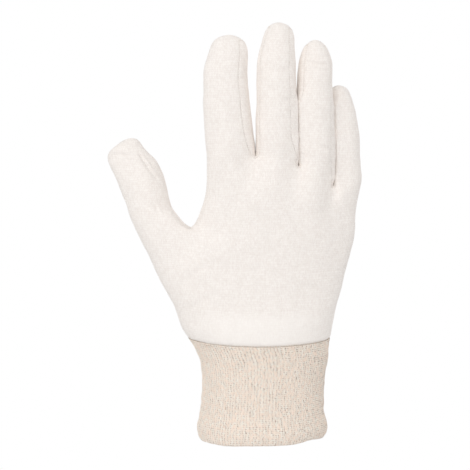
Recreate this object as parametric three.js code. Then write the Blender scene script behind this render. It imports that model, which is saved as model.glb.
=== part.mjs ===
// A cotton work glove for the right hand, with a ribbed knit wrist, standing open and upright.
// It is sewn from a back panel, a palm panel, three fourchettes (the strips between fingers) and a knit
// wrist. Millimetres. +Z runs from the wrist opening to the fingertips, +X from the thumb to the little
// finger, and -Y is the glove's back. The origin is the centre of the wrist opening.
import * as THREE from "three";

// Cloth
const CLOTH_WALL = 1.2;
const KNIT_WALL = 2.4;
const SEAM_GAP = 0.3;

// Knit wrist
const CUFF_LENGTH = 59.5;
const CUFF_WIDTH = 73;
const CUFF_DEPTH = 46;
const RIB_PITCH = 2.4;
const RIB_RISE = 0.5;

// Palm: its length runs from the hem to the highest web
const PALM_LENGTH = 110;
const PALM_DEPTH = 35;
const WEB_DEPTH = 12;
const HEM_OVERHANG = 0.8;

// Fingers, measured over the cloth: length from the finger's own base to its tip, then width and depth
const INDEX_LENGTH = 75.4;
const INDEX_WIDTH = 28.4;
const INDEX_DEPTH = 23.5;
const MIDDLE_LENGTH = 82.5;
const MIDDLE_WIDTH = 24.6;
const MIDDLE_DEPTH = 22.5;
const RING_LENGTH = 79.5;
const RING_WIDTH = 21.2;
const RING_DEPTH = 20.5;
const LITTLE_LENGTH = 58.5;
const LITTLE_WIDTH = 18;
const LITTLE_DEPTH = 18.5;
const THUMB_LENGTH = 75;
const THUMB_WIDTH = 26.6;
const THUMB_DEPTH = 24;
const SLIT = 0.8;

// Sections of each finger, as shares of its length (along, bow, curl), width (wide) and depth (deep).
// Bow is towards the little finger, and curl is towards the palm.
const INDEX_SECTIONS = [
  { along: 0.13, bow: -0.004, curl: 0.002, wide: 1.03, deep: 0.98 },
  { along: 0.32, bow: -0.022, curl: 0.012, wide: 0.99, deep: 0.95 },
  { along: 0.52, bow: -0.034, curl: 0.03, wide: 0.97, deep: 0.92 },
  { along: 0.7, bow: -0.036, curl: 0.055, wide: 0.93, deep: 0.86 },
  { along: 0.84, bow: -0.022, curl: 0.082, wide: 0.84, deep: 0.76 },
  { along: 0.945, bow: -0.01, curl: 0.102, wide: 0.64, deep: 0.52 },
  { along: 1, bow: -0.012, curl: 0.11, wide: 0, deep: 0 },
];
const MIDDLE_SECTIONS = [
  { along: 0.13, bow: -0.004, curl: 0.002, wide: 1, deep: 0.98 },
  { along: 0.32, bow: -0.006, curl: 0.012, wide: 1, deep: 0.95 },
  { along: 0.53, bow: -0.006, curl: 0.032, wide: 0.97, deep: 0.92 },
  { along: 0.71, bow: -0.002, curl: 0.058, wide: 0.92, deep: 0.86 },
  { along: 0.85, bow: 0.01, curl: 0.086, wide: 0.8, deep: 0.76 },
  { along: 0.95, bow: 0.024, curl: 0.106, wide: 0.6, deep: 0.52 },
  { along: 1, bow: 0.03, curl: 0.115, wide: 0, deep: 0 },
];
const RING_SECTIONS = [
  { along: 0.13, bow: 0, curl: 0.004, wide: 0.98, deep: 0.98 },
  { along: 0.32, bow: -0.008, curl: 0.018, wide: 1.025, deep: 0.96 },
  { along: 0.52, bow: -0.011, curl: 0.042, wide: 1.03, deep: 0.93 },
  { along: 0.7, bow: -0.007, curl: 0.074, wide: 0.995, deep: 0.88 },
  { along: 0.84, bow: -0.002, curl: 0.106, wide: 0.93, deep: 0.78 },
  { along: 0.945, bow: -0.004, curl: 0.132, wide: 0.62, deep: 0.54 },
  { along: 1, bow: -0.004, curl: 0.142, wide: 0, deep: 0 },
];
const LITTLE_SECTIONS = [
  { along: 0.13, bow: -0.002, curl: 0.006, wide: 0.98, deep: 0.98 },
  { along: 0.32, bow: -0.012, curl: 0.024, wide: 1, deep: 0.96 },
  { along: 0.52, bow: -0.026, curl: 0.052, wide: 1, deep: 0.94 },
  { along: 0.7, bow: -0.046, curl: 0.086, wide: 0.95, deep: 0.88 },
  { along: 0.85, bow: -0.068, curl: 0.122, wide: 0.8, deep: 0.74 },
  { along: 0.95, bow: -0.07, curl: 0.148, wide: 0.58, deep: 0.5 },
  { along: 1, bow: -0.078, curl: 0.16, wide: 0, deep: 0 },
];
const THUMB_SECTIONS = [
  { along: 0.34, bow: 0.024, curl: 0.0, wide: 0.98, deep: 1.04 },
  { along: 0.48, bow: 0.032, curl: 0.004, wide: 0.98, deep: 1.0 },
  { along: 0.63, bow: 0.044, curl: 0.012, wide: 1.04, deep: 0.98 },
  { along: 0.77, bow: 0.038, curl: 0.026, wide: 1.03, deep: 0.9 },
  { along: 0.89, bow: 0.01, curl: 0.042, wide: 0.93, deep: 0.76 },
  { along: 0.968, bow: -0.012, curl: 0.05, wide: 0.72, deep: 0.54 },
  { along: 1, bow: -0.012, curl: 0.054, wide: 0, deep: 0 },
];
const FINGER_BASE = { along: 0, bow: 0, curl: 0, wide: 1, deep: 1 };

// Drop is how far a finger's base stands below the palm's full length, as a share of that length. Behind is
// how far it lies towards the palm, as a share of the palm depth. Roll turns the finger about its length in
// degrees, a positive one to show its little-finger side at the glove's back. Each finger takes up its roll
// over the first part of its length.
const FINGERS = [
  {
    size: { length: INDEX_LENGTH, width: INDEX_WIDTH, depth: INDEX_DEPTH },
    place: { drop: 0.026, behind: -0.075, roll: 14 },
    sections: INDEX_SECTIONS,
  },
  {
    size: { length: MIDDLE_LENGTH, width: MIDDLE_WIDTH, depth: MIDDLE_DEPTH },
    place: { drop: 0.024, behind: -0.075, roll: 8 },
    sections: MIDDLE_SECTIONS,
  },
  {
    size: { length: RING_LENGTH, width: RING_WIDTH, depth: RING_DEPTH },
    place: { drop: 0.086, behind: 0, roll: -8 },
    sections: RING_SECTIONS,
  },
  {
    size: { length: LITTLE_LENGTH, width: LITTLE_WIDTH, depth: LITTLE_DEPTH },
    place: { drop: 0.14, behind: 0.225, roll: 0 },
    sections: LITTLE_SECTIONS,
  },
];
const ROLL_REACH = 0.25;

// Each web between two fingers: how far it stands below the palm's full length, as a share of that length.
// It sags at the back and the palm by a share of its depth.
const WEBS = [
  { between: "index_middle", drop: 0 },
  { between: "middle_ring", drop: 0.05 },
  { between: "ring_little", drop: 0.16 },
];
const WEB_SAG = 0.05;

// The thumb's root as shares of the palm's breadth, length and depth, and its leans and roll in degrees
const THUMB = {
  size: { length: THUMB_LENGTH, width: THUMB_WIDTH, depth: THUMB_DEPTH },
  place: { left: 0.625, up: 0.455, forward: 0.12, lean: 22.3, forwardLean: 9, roll: 12 },
  sections: THUMB_SECTIONS,
};

// Sections of the palm from the hem up. Up is a share of each column's height, left and right are shares of
// the palm breadth from the wrist's centre, back and front are shares of the palm depth, inset is how far in
// from the thumb side the next column stands, as a share of the section's half width, and forward is how far
// the thumb side lies towards the palm, as a share of the palm depth. Root names the sections that the thumb
// joins.
const PALM_SECTIONS = [
  { up: 0.08, left: 0.526, right: 0.456, back: 0.77, front: 0.78, inset: 0.06, forward: 0 },
  { up: 0.19, left: 0.57, right: 0.478, back: 0.69, front: 0.76, inset: 0.09, forward: 0.03 },
  { up: 0.333, left: 0.658, right: 0.516, back: 0.6, front: 0.72, inset: 0.15, forward: 0.08, root: "low" },
  { up: 0.49, left: 0.64, right: 0.556, back: 0.54, front: 0.66, inset: 0.22, forward: 0.12, root: "middle" },
  { up: 0.612, left: 0.472, right: 0.59, back: 0.5, front: 0.57, inset: 0.15, forward: 0.1, root: "high" },
  { up: 0.73, left: 0.396, right: 0.606, back: 0.475, front: 0.5, inset: 0.1, forward: 0.05 },
  { up: 0.857, left: 0.36, right: 0.616, back: 0.45, front: 0.42, inset: 0.07, forward: 0 },
];
const KNUCKLES_LEFT = 0.354;

// How square the palm's sections are where they are squarest, how high up that is, and how soon the columns
// settle into line with the fingers
const SQUARENESS = { hem: 2, palm: 2.7, reachedAt: 0.5 };
const SETTLING = 0.8;

// Dents under the webs, in the palm's last section: how shallow the glove is there
const DENTS = { back: 0.9, front: 0.93 };

// Sections of the knit wrist from the folded edge up, as shares of its length, width and depth
const CUFF_SECTIONS = [
  { up: 0, aside: 0, wide: 1.04, deep: 1.02 },
  { up: 0.035, aside: 0.002, wide: 1.066, deep: 1.05 },
  { up: 0.3, aside: 0.004, wide: 1.026, deep: 1.01 },
  { up: 0.62, aside: 0.014, wide: 1.02, deep: 1 },
  { up: 0.84, aside: 0.012, wide: 1.075, deep: 1.06 },
  { up: 1, aside: -0.022, wide: 1.155, deep: 1.17 },
];

const COTTON = { color: 0xf5eee9, roughness: 0.95, metalness: 0 };
const UNBLEACHED_KNIT = { color: 0xeddfd0, roughness: 0.98, metalness: 0 };

const HEM_HEIGHT = CUFF_LENGTH + SEAM_GAP;
const FIT_PASSES = 12;

// Places round a finger's ring: thumb side, three at the back, little-finger side, three at the palm
const SEAM_ANGLE = 40;
const RING_ANGLES = [180, 180 - SEAM_ANGLE, 90, SEAM_ANGLE, 0, -SEAM_ANGLE, -90, SEAM_ANGLE - 180];

const vec = (x, y, z) => new THREE.Vector3(x, y, z);
const { lerp, degToRad } = THREE.MathUtils;
const edgeKey = (a, b) => (a < b ? `${a}_${b}` : `${b}_${a}`);

// A quad cage: the places that the finished surface passes through, and faces that each name their panel
class Cage {
  constructor() {
    this.points = [];
    this.faces = [];
  }

  point(p) {
    return this.points.push(p) - 1;
  }

  face(corners, panel) {
    this.faces.push({ corners, panel });
  }

  // Quads between two rings of equal length, the panel of each side named by its place in the ring
  band(lower, upper, panelOf) {
    lower.forEach((corner, i) => {
      const next = (i + 1) % lower.length;
      this.face([corner, lower[next], upper[next], upper[i]], panelOf(i));
    });
  }
}

// Neighbours of every point, for the subdivision rules
function neighbourhood(points, faces) {
  const edges = new Map();
  const around = points.map(() => ({ edges: new Set(), across: [], rim: new Set() }));
  faces.forEach(({ corners }, f) => {
    corners.forEach((a, i) => {
      const b = corners[(i + 1) % 4];
      const key = edgeKey(a, b);
      if (!edges.has(key)) edges.set(key, { a, b, faces: [] });
      edges.get(key).faces.push(f);
      around[a].edges.add(b);
      around[b].edges.add(a);
      around[a].across.push(corners[(i + 2) % 4]);
    });
  });
  for (const { a, b, faces: sides } of edges.values()) {
    if (sides.length === 1) {
      around[a].rim.add(b);
      around[b].rim.add(a);
    }
  }
  return { edges, around };
}

// Where each point of a quad mesh comes to rest on the smooth (Catmull-Clark) surface
function limitPoints(points, around) {
  return points.map((p, i) => {
    const { edges, across, rim } = around[i];
    const sum = vec(0, 0, 0);
    if (rim.size) {
      rim.forEach((j) => sum.add(points[j]));
      return sum.addScaledVector(p, 4).divideScalar(6);
    }
    const n = edges.size;
    edges.forEach((j) => sum.addScaledVector(points[j], 4));
    across.forEach((j) => sum.add(points[j]));
    return sum.addScaledVector(p, n * n).divideScalar(n * (n + 5));
  });
}

// Moves the cage's points until its smooth surface passes through the places that they were given
function throughPoints({ points: places, faces }) {
  const { around } = neighbourhood(places, faces);
  const points = places.map((p) => p.clone());
  for (let pass = 0; pass < FIT_PASSES; pass++) {
    const reached = limitPoints(points, around);
    points.forEach((p, i) => p.add(places[i]).sub(reached[i]));
  }
  return { points, faces };
}

// One round of Catmull-Clark subdivision
function subdivide({ points, faces }) {
  const { edges, around } = neighbourhood(points, faces);
  const centres = faces.map(({ corners }) => {
    const sum = vec(0, 0, 0);
    corners.forEach((c) => sum.add(points[c]));
    return sum.divideScalar(4);
  });
  const made = points.map((p, i) => {
    const { edges: near, across, rim } = around[i];
    const sum = vec(0, 0, 0);
    if (rim.size) {
      rim.forEach((j) => sum.add(points[j]));
      return sum.addScaledVector(p, 6).divideScalar(8);
    }
    const n = near.size;
    near.forEach((j) => sum.addScaledVector(points[j], 6));
    across.forEach((j) => sum.add(points[j]));
    return sum.addScaledVector(p, 4 * n * n - 7 * n).divideScalar(4 * n * n);
  });
  const edgePoint = new Map();
  for (const [key, { a, b, faces: sides }] of edges) {
    const sum = points[a].clone().add(points[b]);
    if (sides.length === 2) sum.add(centres[sides[0]]).add(centres[sides[1]]);
    edgePoint.set(key, made.push(sum.divideScalar(sides.length === 2 ? 4 : 2)) - 1);
  }
  const quads = [];
  faces.forEach(({ corners, panel }, f) => {
    const centre = made.push(centres[f]) - 1;
    const middles = corners.map((a, i) => edgePoint.get(edgeKey(a, corners[(i + 1) % 4])));
    corners.forEach((a, i) => {
      quads.push({ corners: [a, middles[i], centre, middles[(i + 3) % 4]], panel });
    });
  });
  return { points: made, faces: quads };
}

// The rings of a finger or thumb, from its base point along its own direction
function fingerRings({ size, place, sections }, base) {
  const lean = degToRad(place.lean ?? 0);
  const tip = degToRad(place.forwardLean ?? 0);
  const along = vec(-Math.sin(lean) * Math.cos(tip), Math.sin(tip), Math.cos(lean) * Math.cos(tip));
  const aside = vec(Math.cos(lean), 0, Math.sin(lean));
  const palmwards = vec(0, 1, 0).addScaledVector(along, -along.y).normalize();
  const stations = [FINGER_BASE, ...sections];
  const centres = stations.map((section) =>
    base
      .clone()
      .addScaledVector(along, section.along * size.length)
      .addScaledVector(aside, section.bow * size.length)
      .addScaledVector(palmwards, section.curl * size.length),
  );
  return stations.map((section, i) => {
    const before = centres[Math.max(i - 1, 0)];
    const after = centres[Math.min(i + 1, centres.length - 1)];
    const axis = after.clone().sub(before).normalize();
    const side = aside.clone().addScaledVector(axis, -aside.dot(axis)).normalize();
    const back = side.clone().cross(axis);
    const roll = place.roll * Math.min(1, section.along / ROLL_REACH);
    const ring = RING_ANGLES.map((degrees) => {
      const angle = degToRad(degrees + roll);
      return centres[i]
        .clone()
        .addScaledVector(side, (Math.cos(angle) * section.wide * size.width) / 2)
        .addScaledVector(back, (Math.sin(angle) * section.deep * size.depth) / 2);
    });
    return { centre: centres[i], ring };
  });
}

// Adds a finger's tube and rounded tip to the cage, above a ring that the cage already has
function addFinger(cage, baseRing, rings, panelOf) {
  let below = baseRing;
  rings.slice(1, -1).forEach(({ ring }) => {
    const above = ring.map((p) => cage.point(p));
    cage.band(below, above, panelOf);
    below = above;
  });
  const top = cage.point(rings.at(-1).centre);
  const [left, backLeft, back, backRight, right, palmRight, palm, palmLeft] = below;
  cage.face([top, left, backLeft, back], "back_panel");
  cage.face([top, back, backRight, right], "back_panel");
  cage.face([top, right, palmRight, palm], "palm_panel");
  cage.face([top, palm, palmLeft, left], "palm_panel");
}

// Where the fingers stand, each nested beside the last by the difference in how far they lie back
function fingerPlaces() {
  const across = [INDEX_WIDTH / 2];
  for (let i = 1; i < FINGERS.length; i++) {
    const reach = (FINGERS[i - 1].size.width + FINGERS[i].size.width) / 2 + SLIT;
    const behind = (FINGERS[i].place.behind - FINGERS[i - 1].place.behind) * PALM_DEPTH;
    across.push(across[i - 1] + Math.sqrt(reach * reach - behind * behind));
  }
  const breadth = across.at(-1) + LITTLE_WIDTH / 2;
  const bases = FINGERS.map(({ place }, i) => {
    const height = HEM_HEIGHT + (1 - place.drop) * PALM_LENGTH;
    return vec(across[i] - KNUCKLES_LEFT * breadth, place.behind * PALM_DEPTH, height);
  });
  return { breadth, bases };
}

// Adds the four fingers, joined at their webs, and gives the ring of points where the palm ends
function addFingers(cage, bases) {
  const rings = FINGERS.map((finger, i) => fingerRings(finger, bases[i]));
  const baseRings = rings.map(([first]) => first.ring);
  const webs = WEBS.map(({ drop }, i) => {
    const x = (baseRings[i][4].x + baseRings[i + 1][0].x) / 2;
    const y = (bases[i].y + bases[i + 1].y) / 2;
    const z = HEM_HEIGHT + (1 - drop) * PALM_LENGTH;
    return [-0.5, 0, 0.5].map((side) => {
      const sag = 2 * Math.abs(side) * WEB_SAG * WEB_DEPTH;
      return cage.point(vec(x, y + side * WEB_DEPTH, z - sag));
    });
  });
  const own = (finger, places) => places.map((place) => cage.point(baseRings[finger][place]));
  const index = own(0, [0, 1, 2, 6, 7]);
  const middle = own(1, [2, 6]);
  const ring = own(2, [2, 6]);
  const little = own(3, [2, 3, 4, 5, 6]);
  const [first, second, third] = webs;
  const starts = [
    [index[0], index[1], index[2], ...first, index[3], index[4]],
    [first[1], first[0], middle[0], ...second, middle[1], first[2]],
    [second[1], second[0], ring[0], ...third, ring[1], second[2]],
    [third[1], third[0], ...little, third[2]],
  ];
  starts.forEach((start, i) => {
    const leftStrip = i > 0 && `fourchette_${WEBS[i - 1].between}`;
    const rightStrip = i < WEBS.length && `fourchette_${WEBS[i].between}`;
    const panelOf = (side) => {
      if (side === 0 || side === 7) return leftStrip || (side === 0 ? "back_panel" : "palm_panel");
      if (side === 3 || side === 4) return rightStrip || (side === 3 ? "back_panel" : "palm_panel");
      return side < 4 ? "back_panel" : "palm_panel";
    };
    addFinger(cage, start, rings[i], panelOf);
  });
  const back = [index[0], index[1], index[2], first[0], middle[0], second[0], ring[0], third[0]];
  const front = [third[2], ring[1], second[2], middle[1], first[2], index[3], index[4]];
  return { topRing: [...back, ...little, ...front], webPoints: webs.flat() };
}

// The hem's ring: an ellipse that stands a little proud of the knit wrist
function addHem(cage, columns) {
  const cuffTop = CUFF_SECTIONS.at(-1);
  const halfWidth = (cuffTop.wide * CUFF_WIDTH) / 2 + HEM_OVERHANG;
  const halfDepth = (cuffTop.deep * CUFF_DEPTH) / 2 + HEM_OVERHANG;
  return Array.from({ length: columns }, (_, c) => {
    const angle = (2 * Math.PI * c) / columns;
    const x = cuffTop.aside * CUFF_WIDTH - Math.cos(angle) * halfWidth;
    return cage.point(vec(x, -Math.sin(angle) * halfDepth, HEM_HEIGHT));
  });
}

// How far across the palm's section a column stands, from -1 at the thumb side to 1 at the little finger.
// The two columns next to the thumb side leave room for the thumb's root.
function acrossSection(section, column, tops) {
  const columns = tops.length;
  const leftTop = tops[0].x;
  const rightTop = tops[columns / 2].x;
  const settle = Math.pow(section.up, SETTLING);
  const plain = (c) => {
    const atTop = (2 * (tops[c].x - leftTop)) / (rightTop - leftTop) - 1;
    return lerp(-Math.cos((2 * Math.PI * c) / columns), atTop, settle);
  };
  const fromThumbSide = Math.min(column, columns - column);
  if (fromThumbSide === 1) return section.inset - 1;
  if (fromThumbSide === 2) return (section.inset - 1 + plain(3)) / 2;
  return plain(column);
}

// A point of a palm section, which lines up with the fingers' own arch as it nears them
function palmPoint(section, column, tops, breadth) {
  const left = -section.left * breadth;
  const right = section.right * breadth;
  const share = acrossSection(section, column, tops);
  const x = (left + right) / 2 + (share * (right - left)) / 2;
  const power = lerp(SQUARENESS.hem, SQUARENESS.palm, Math.min(1, section.up / SQUARENESS.reachedAt));
  const swell = Math.sqrt(Math.max(1 - Math.pow(Math.abs(share), power), 0));
  const depth = column <= tops.length / 2 ? -section.back : section.front;
  const edge = section.forward * Math.pow(Math.max(0, -share), 2);
  const opposite = tops[(tops.length - column) % tops.length];
  const archedY = ((tops[column].y + opposite.y) / 2) * Math.pow(section.up, 2 * SETTLING);
  const y = (edge + depth * swell) * PALM_DEPTH + archedY;
  return vec(x, y, lerp(HEM_HEIGHT, tops[column].z, section.up));
}

// Adds the palm between the hem and the fingers, and gives its rows. One point is left out for the thumb.
function addPalm(cage, topRing, webPoints, breadth) {
  const tops = topRing.map((i) => cage.points[i]);
  const columns = topRing.length;
  const rows = PALM_SECTIONS.map((section, row) =>
    topRing.map((top, c) => {
      if (c === 0 && section.root === "middle") return null;
      const p = palmPoint(section, c, tops, breadth);
      const isDent = row === PALM_SECTIONS.length - 1 && webPoints.includes(top);
      if (isDent) p.y *= p.y < 0 ? DENTS.back : DENTS.front;
      return cage.point(p);
    }),
  );
  const levels = [addHem(cage, columns), ...rows, topRing];
  for (let r = 0; r + 1 < levels.length; r++) {
    for (let c = 0; c < columns; c++) {
      const next = (c + 1) % columns;
      const corners = [levels[r][c], levels[r][next], levels[r + 1][next], levels[r + 1][c]];
      if (!corners.includes(null)) cage.face(corners, c < columns / 2 ? "back_panel" : "palm_panel");
    }
  }
  return rows;
}

// Adds the thumb at the opening that the palm leaves on its thumb side
function addThumb(cage, rows, breadth) {
  const rowAt = (root) => rows[PALM_SECTIONS.findIndex((section) => section.root === root)];
  const [low, middle, high] = ["low", "middle", "high"].map(rowAt);
  const back = [low[0], low[1], middle[1], high[1]];
  const front = [high[0], high.at(-1), middle.at(-1), low.at(-1)];
  const opening = [...back, ...front];
  const { left, up, forward } = THUMB.place;
  const base = vec(-left * breadth, forward * PALM_DEPTH, HEM_HEIGHT + up * PALM_LENGTH);
  const rings = fingerRings(THUMB, base);
  const rootRing = opening.map((i, k) => {
    const p = cage.points[i].clone().add(rings[1].ring[k]);
    return cage.point(p.divideScalar(2));
  });
  const panelOf = (side) => (side < 4 ? "back_panel" : "palm_panel");
  cage.band(opening, rootRing, panelOf);
  addFinger(cage, rootRing, rings, panelOf);
}

// The whole glove body as a cage
function gloveCage() {
  const cage = new Cage();
  const { breadth, bases } = fingerPlaces();
  const { topRing, webPoints } = addFingers(cage, bases);
  const rows = addPalm(cage, topRing, webPoints, breadth);
  addThumb(cage, rows, breadth);
  return cage;
}

// The outward normal at each point of a quad mesh
function pointNormals({ points, faces }) {
  const normals = points.map(() => vec(0, 0, 0));
  faces.forEach(({ corners: [a, b, c, d] }) => {
    const one = points[c].clone().sub(points[a]);
    const two = points[d].clone().sub(points[b]);
    const normal = one.cross(two);
    [a, b, c, d].forEach((i) => normals[i].add(normal));
  });
  return normals.map((n) => n.normalize());
}

// Each directed edge of a list of quads
function directedEdges(faces) {
  const pairs = faces.flatMap(({ corners }) => corners.map((a, i) => [a, corners[(i + 1) % 4]]));
  return new Map(pairs.map(([a, b]) => [`${a}_${b}`, [a, b]]));
}

// How far each point on a panel's sewn edges stands back from the seam, mitred where the edge turns
function seamSetbacks(points, normals, sewn) {
  const inward = new Map();
  sewn.forEach(([a, b]) => {
    const run = points[b].clone().sub(points[a]);
    [a, b].forEach((i) => {
      const direction = normals[i].clone().cross(run).normalize();
      inward.set(i, [...(inward.get(i) ?? []), direction]);
    });
  });
  const setbacks = new Map();
  inward.forEach((directions, i) => {
    const mean = vec(0, 0, 0);
    directions.forEach((direction) => mean.addScaledVector(direction, 1 / directions.length));
    setbacks.set(i, mean.multiplyScalar(SEAM_GAP / 2 / mean.lengthSq()));
  });
  return setbacks;
}

// One panel of cloth as a closed sheet: the outer faces, the same faces a wall further in, and cut edges.
// Where it is sewn to another panel, its edge stands back by half the seam's gap.
function panelGeometry({ points, faces }, normals, panel) {
  const own = faces.filter((face) => face.panel === panel);
  const ownEdges = directedEdges(own);
  const allEdges = directedEdges(faces);
  const cut = [...ownEdges.values()].filter(([a, b]) => !ownEdges.has(`${b}_${a}`));
  const sewn = cut.filter(([a, b]) => allEdges.has(`${b}_${a}`));
  const setbacks = seamSetbacks(points, normals, sewn);
  const onHem = new Set(cut.filter((edge) => !sewn.includes(edge)).flat());
  const outer = new Map();
  const inner = new Map();
  new Set(own.flatMap(({ corners }) => corners)).forEach((i) => {
    const p = points[i].clone();
    if (setbacks.has(i)) p.add(setbacks.get(i));
    const q = p.clone().addScaledVector(normals[i], -CLOTH_WALL);
    if (onHem.has(i)) p.z = q.z = HEM_HEIGHT;
    outer.set(i, p);
    inner.set(i, q);
  });
  const soup = [];
  const quad = (a, b, c, d) => soup.push(a, b, c, a, c, d);
  own.forEach(({ corners }) => {
    quad(...corners.map((i) => outer.get(i)));
    quad(...corners.map((i) => inner.get(i)).reverse());
  });
  cut.forEach(([a, b]) => quad(outer.get(b), outer.get(a), inner.get(a), inner.get(b)));
  return new THREE.BufferGeometry().setFromPoints(soup);
}

// The knit wrist: a ribbed tube with a folded lower edge. Its inner wall is plain and skips the fold's
// swell.
function cuffGeometry() {
  const a = CUFF_WIDTH / 2;
  const b = CUFF_DEPTH / 2;
  const girth = Math.PI * (3 * (a + b) - Math.sqrt((3 * a + b) * (a + 3 * b)));
  const steps = 2 * Math.round(girth / RIB_PITCH);
  const loopAt = ({ up, aside, wide, deep }, inset, rise) =>
    Array.from({ length: steps }, (_, i) => {
      const angle = (2 * Math.PI * i) / steps;
      const depthOfGroove = i % 2 ? rise : 0;
      const x = aside * CUFF_WIDTH + Math.cos(angle) * (wide * a - depthOfGroove - inset);
      return vec(x, Math.sin(angle) * (deep * b - depthOfGroove - inset), up * CUFF_LENGTH);
    });
  const outside = CUFF_SECTIONS.map((section) => loopAt(section, 0, RIB_RISE));
  const [fold, , ...rest] = CUFF_SECTIONS;
  const inside = [fold, ...rest].map((section) => loopAt(section, KNIT_WALL, 0));
  const loops = [...outside, ...inside.reverse()];
  const soup = [];
  loops.forEach((loop, k) => {
    const next = loops[(k + 1) % loops.length];
    loop.forEach((p, i) => {
      const j = (i + 1) % steps;
      soup.push(p, loop[j], next[j], p, next[j], next[i]);
    });
  });
  return new THREE.BufferGeometry().setFromPoints(soup);
}

// A mesh with its own name and cloth
function named(name, geometry, cloth) {
  geometry.computeVertexNormals();
  const mesh = new THREE.Mesh(geometry, new THREE.MeshStandardMaterial(cloth));
  mesh.name = name;
  return mesh;
}

const smooth = subdivide(throughPoints(gloveCage()));
const { around } = neighbourhood(smooth.points, smooth.faces);
const surface = { points: limitPoints(smooth.points, around), faces: smooth.faces };
const normals = pointNormals(surface);
const group = new THREE.Group();
group.name = "cotton_work_glove";
for (const panel of new Set(surface.faces.map((face) => face.panel))) {
  group.add(named(panel, panelGeometry(surface, normals, panel), COTTON));
}
group.add(named("knit_wrist", cuffGeometry(), UNBLEACHED_KNIT));

export default group;
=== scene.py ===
"""The looks of a right-hand cotton work glove with a ribbed knit wrist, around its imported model.

Sizes are in millimetres, and a mesh is turned to metres when it is made. +Z runs from the wrist opening to
the fingertips, +X from the thumb to the little finger, and -Y is the glove's back.
"""

from __future__ import annotations
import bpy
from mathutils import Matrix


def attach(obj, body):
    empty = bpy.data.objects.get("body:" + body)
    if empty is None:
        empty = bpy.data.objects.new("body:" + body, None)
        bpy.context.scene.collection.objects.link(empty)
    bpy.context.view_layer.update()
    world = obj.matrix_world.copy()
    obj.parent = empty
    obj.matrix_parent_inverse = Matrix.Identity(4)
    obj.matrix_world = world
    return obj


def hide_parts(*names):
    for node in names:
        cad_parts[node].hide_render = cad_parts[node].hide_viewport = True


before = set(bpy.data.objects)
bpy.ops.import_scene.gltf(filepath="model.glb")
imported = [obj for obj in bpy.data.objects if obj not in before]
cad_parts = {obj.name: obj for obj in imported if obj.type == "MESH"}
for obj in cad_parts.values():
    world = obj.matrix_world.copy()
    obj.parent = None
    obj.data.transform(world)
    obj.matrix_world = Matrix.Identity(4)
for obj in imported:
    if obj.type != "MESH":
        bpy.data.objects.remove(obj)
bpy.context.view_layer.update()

import logging
import math
from dataclasses import dataclass
from enum import Enum
from typing import Any, Iterable, NamedTuple, Sequence

import bpy
import numpy as np
from mathutils import Vector
from mathutils.kdtree import KDTree

LOG = logging.getLogger("glove")
MM = 0.001
SEED = 7


class Panel(Enum):
    """The cut pieces of cloth, each by the name of the node that it stands for."""

    BACK = "back_panel"
    PALM = "palm_panel"
    INDEX_MIDDLE = "fourchette_index_middle"
    MIDDLE_RING = "fourchette_middle_ring"
    RING_LITTLE = "fourchette_ring_little"


PANELS = list(Panel)
FOURCHETTES = (Panel.INDEX_MIDDLE, Panel.MIDDLE_RING, Panel.RING_LITTLE)


class Limb(Enum):
    """The parts of the body that stand apart from each other."""

    PALM = 0
    INDEX = 1
    MIDDLE = 2
    RING = 3
    LITTLE = 4
    THUMB = 5


FINGERS = (Limb.INDEX, Limb.MIDDLE, Limb.RING, Limb.LITTLE)


class Relief(Enum):
    """The random reliefs, each with its own seed."""

    PINCH = 1
    BROAD = 2
    SMALL = 3
    BAND = 4


class Slot(Enum):
    """The record's material slots."""

    CLOTH = "glove_cloth"
    RIB = "rib_knit"


class Section(NamedTuple):
    """One section of a finger, as shares of its length (along, bow, curl), width and depth (wide, deep)."""

    along: float
    bow: float
    curl: float
    wide: float
    deep: float


class Place(NamedTuple):
    """Where a finger stands: shares of the palm's length and depth, then degrees of roll and lean."""

    drop: float = 0.0
    behind: float = 0.0
    roll: float = 0.0
    lean: float = 0.0
    forward_lean: float = 0.0


class PalmSection(NamedTuple):
    """One section of the palm, as shares of its height, breadth and depth."""

    up: float
    left: float
    right: float
    back: float
    front: float
    inset: float
    forward: float


class Crease(NamedTuple):
    """A shallow fold in the cloth of the back: its middle and size in mm, and its slope in degrees."""

    x: float
    z: float
    slope: float
    length: float
    depth: float
    width: float = 0.9


class Press(NamedTuple):
    """A place where the cloth is pressed aside, seen from the front.

    It says where, how far and its reach, in mm. With a limb, it moves that limb alone.
    """

    x: float
    z: float
    aside: float
    up: float
    reach: float
    limb: Limb | None = None


class SoftPlace(NamedTuple):
    """A crotch between two fingers, seen from the front, where the cloth lies in a soft bend.

    It says where and how far round it, in mm, and how many rounds of smoothing it gets.
    """

    x: float
    z: float
    reach: float
    rounds: int


class FoldLift(NamedTuple):
    """A place where the cuff's folded edge hangs lower or higher: two angles in degrees, then mm."""

    at: float
    reach: float
    lift: float


class Touch(NamedTuple):
    """Two limbs that lie against each other, and the height in mm under which they do."""

    one: Limb
    two: Limb
    top: float


class SoftLight(NamedTuple):
    """A square soft light that looks at the glove: its place and size in metres, and its power in watts."""

    name: str
    place: tuple[float, float, float]
    size: float
    power: float


class CuffSection(NamedTuple):
    """One section of the knit wrist, as shares of its length, width and depth."""

    up: float
    aside: float
    wide: float
    deep: float


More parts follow.
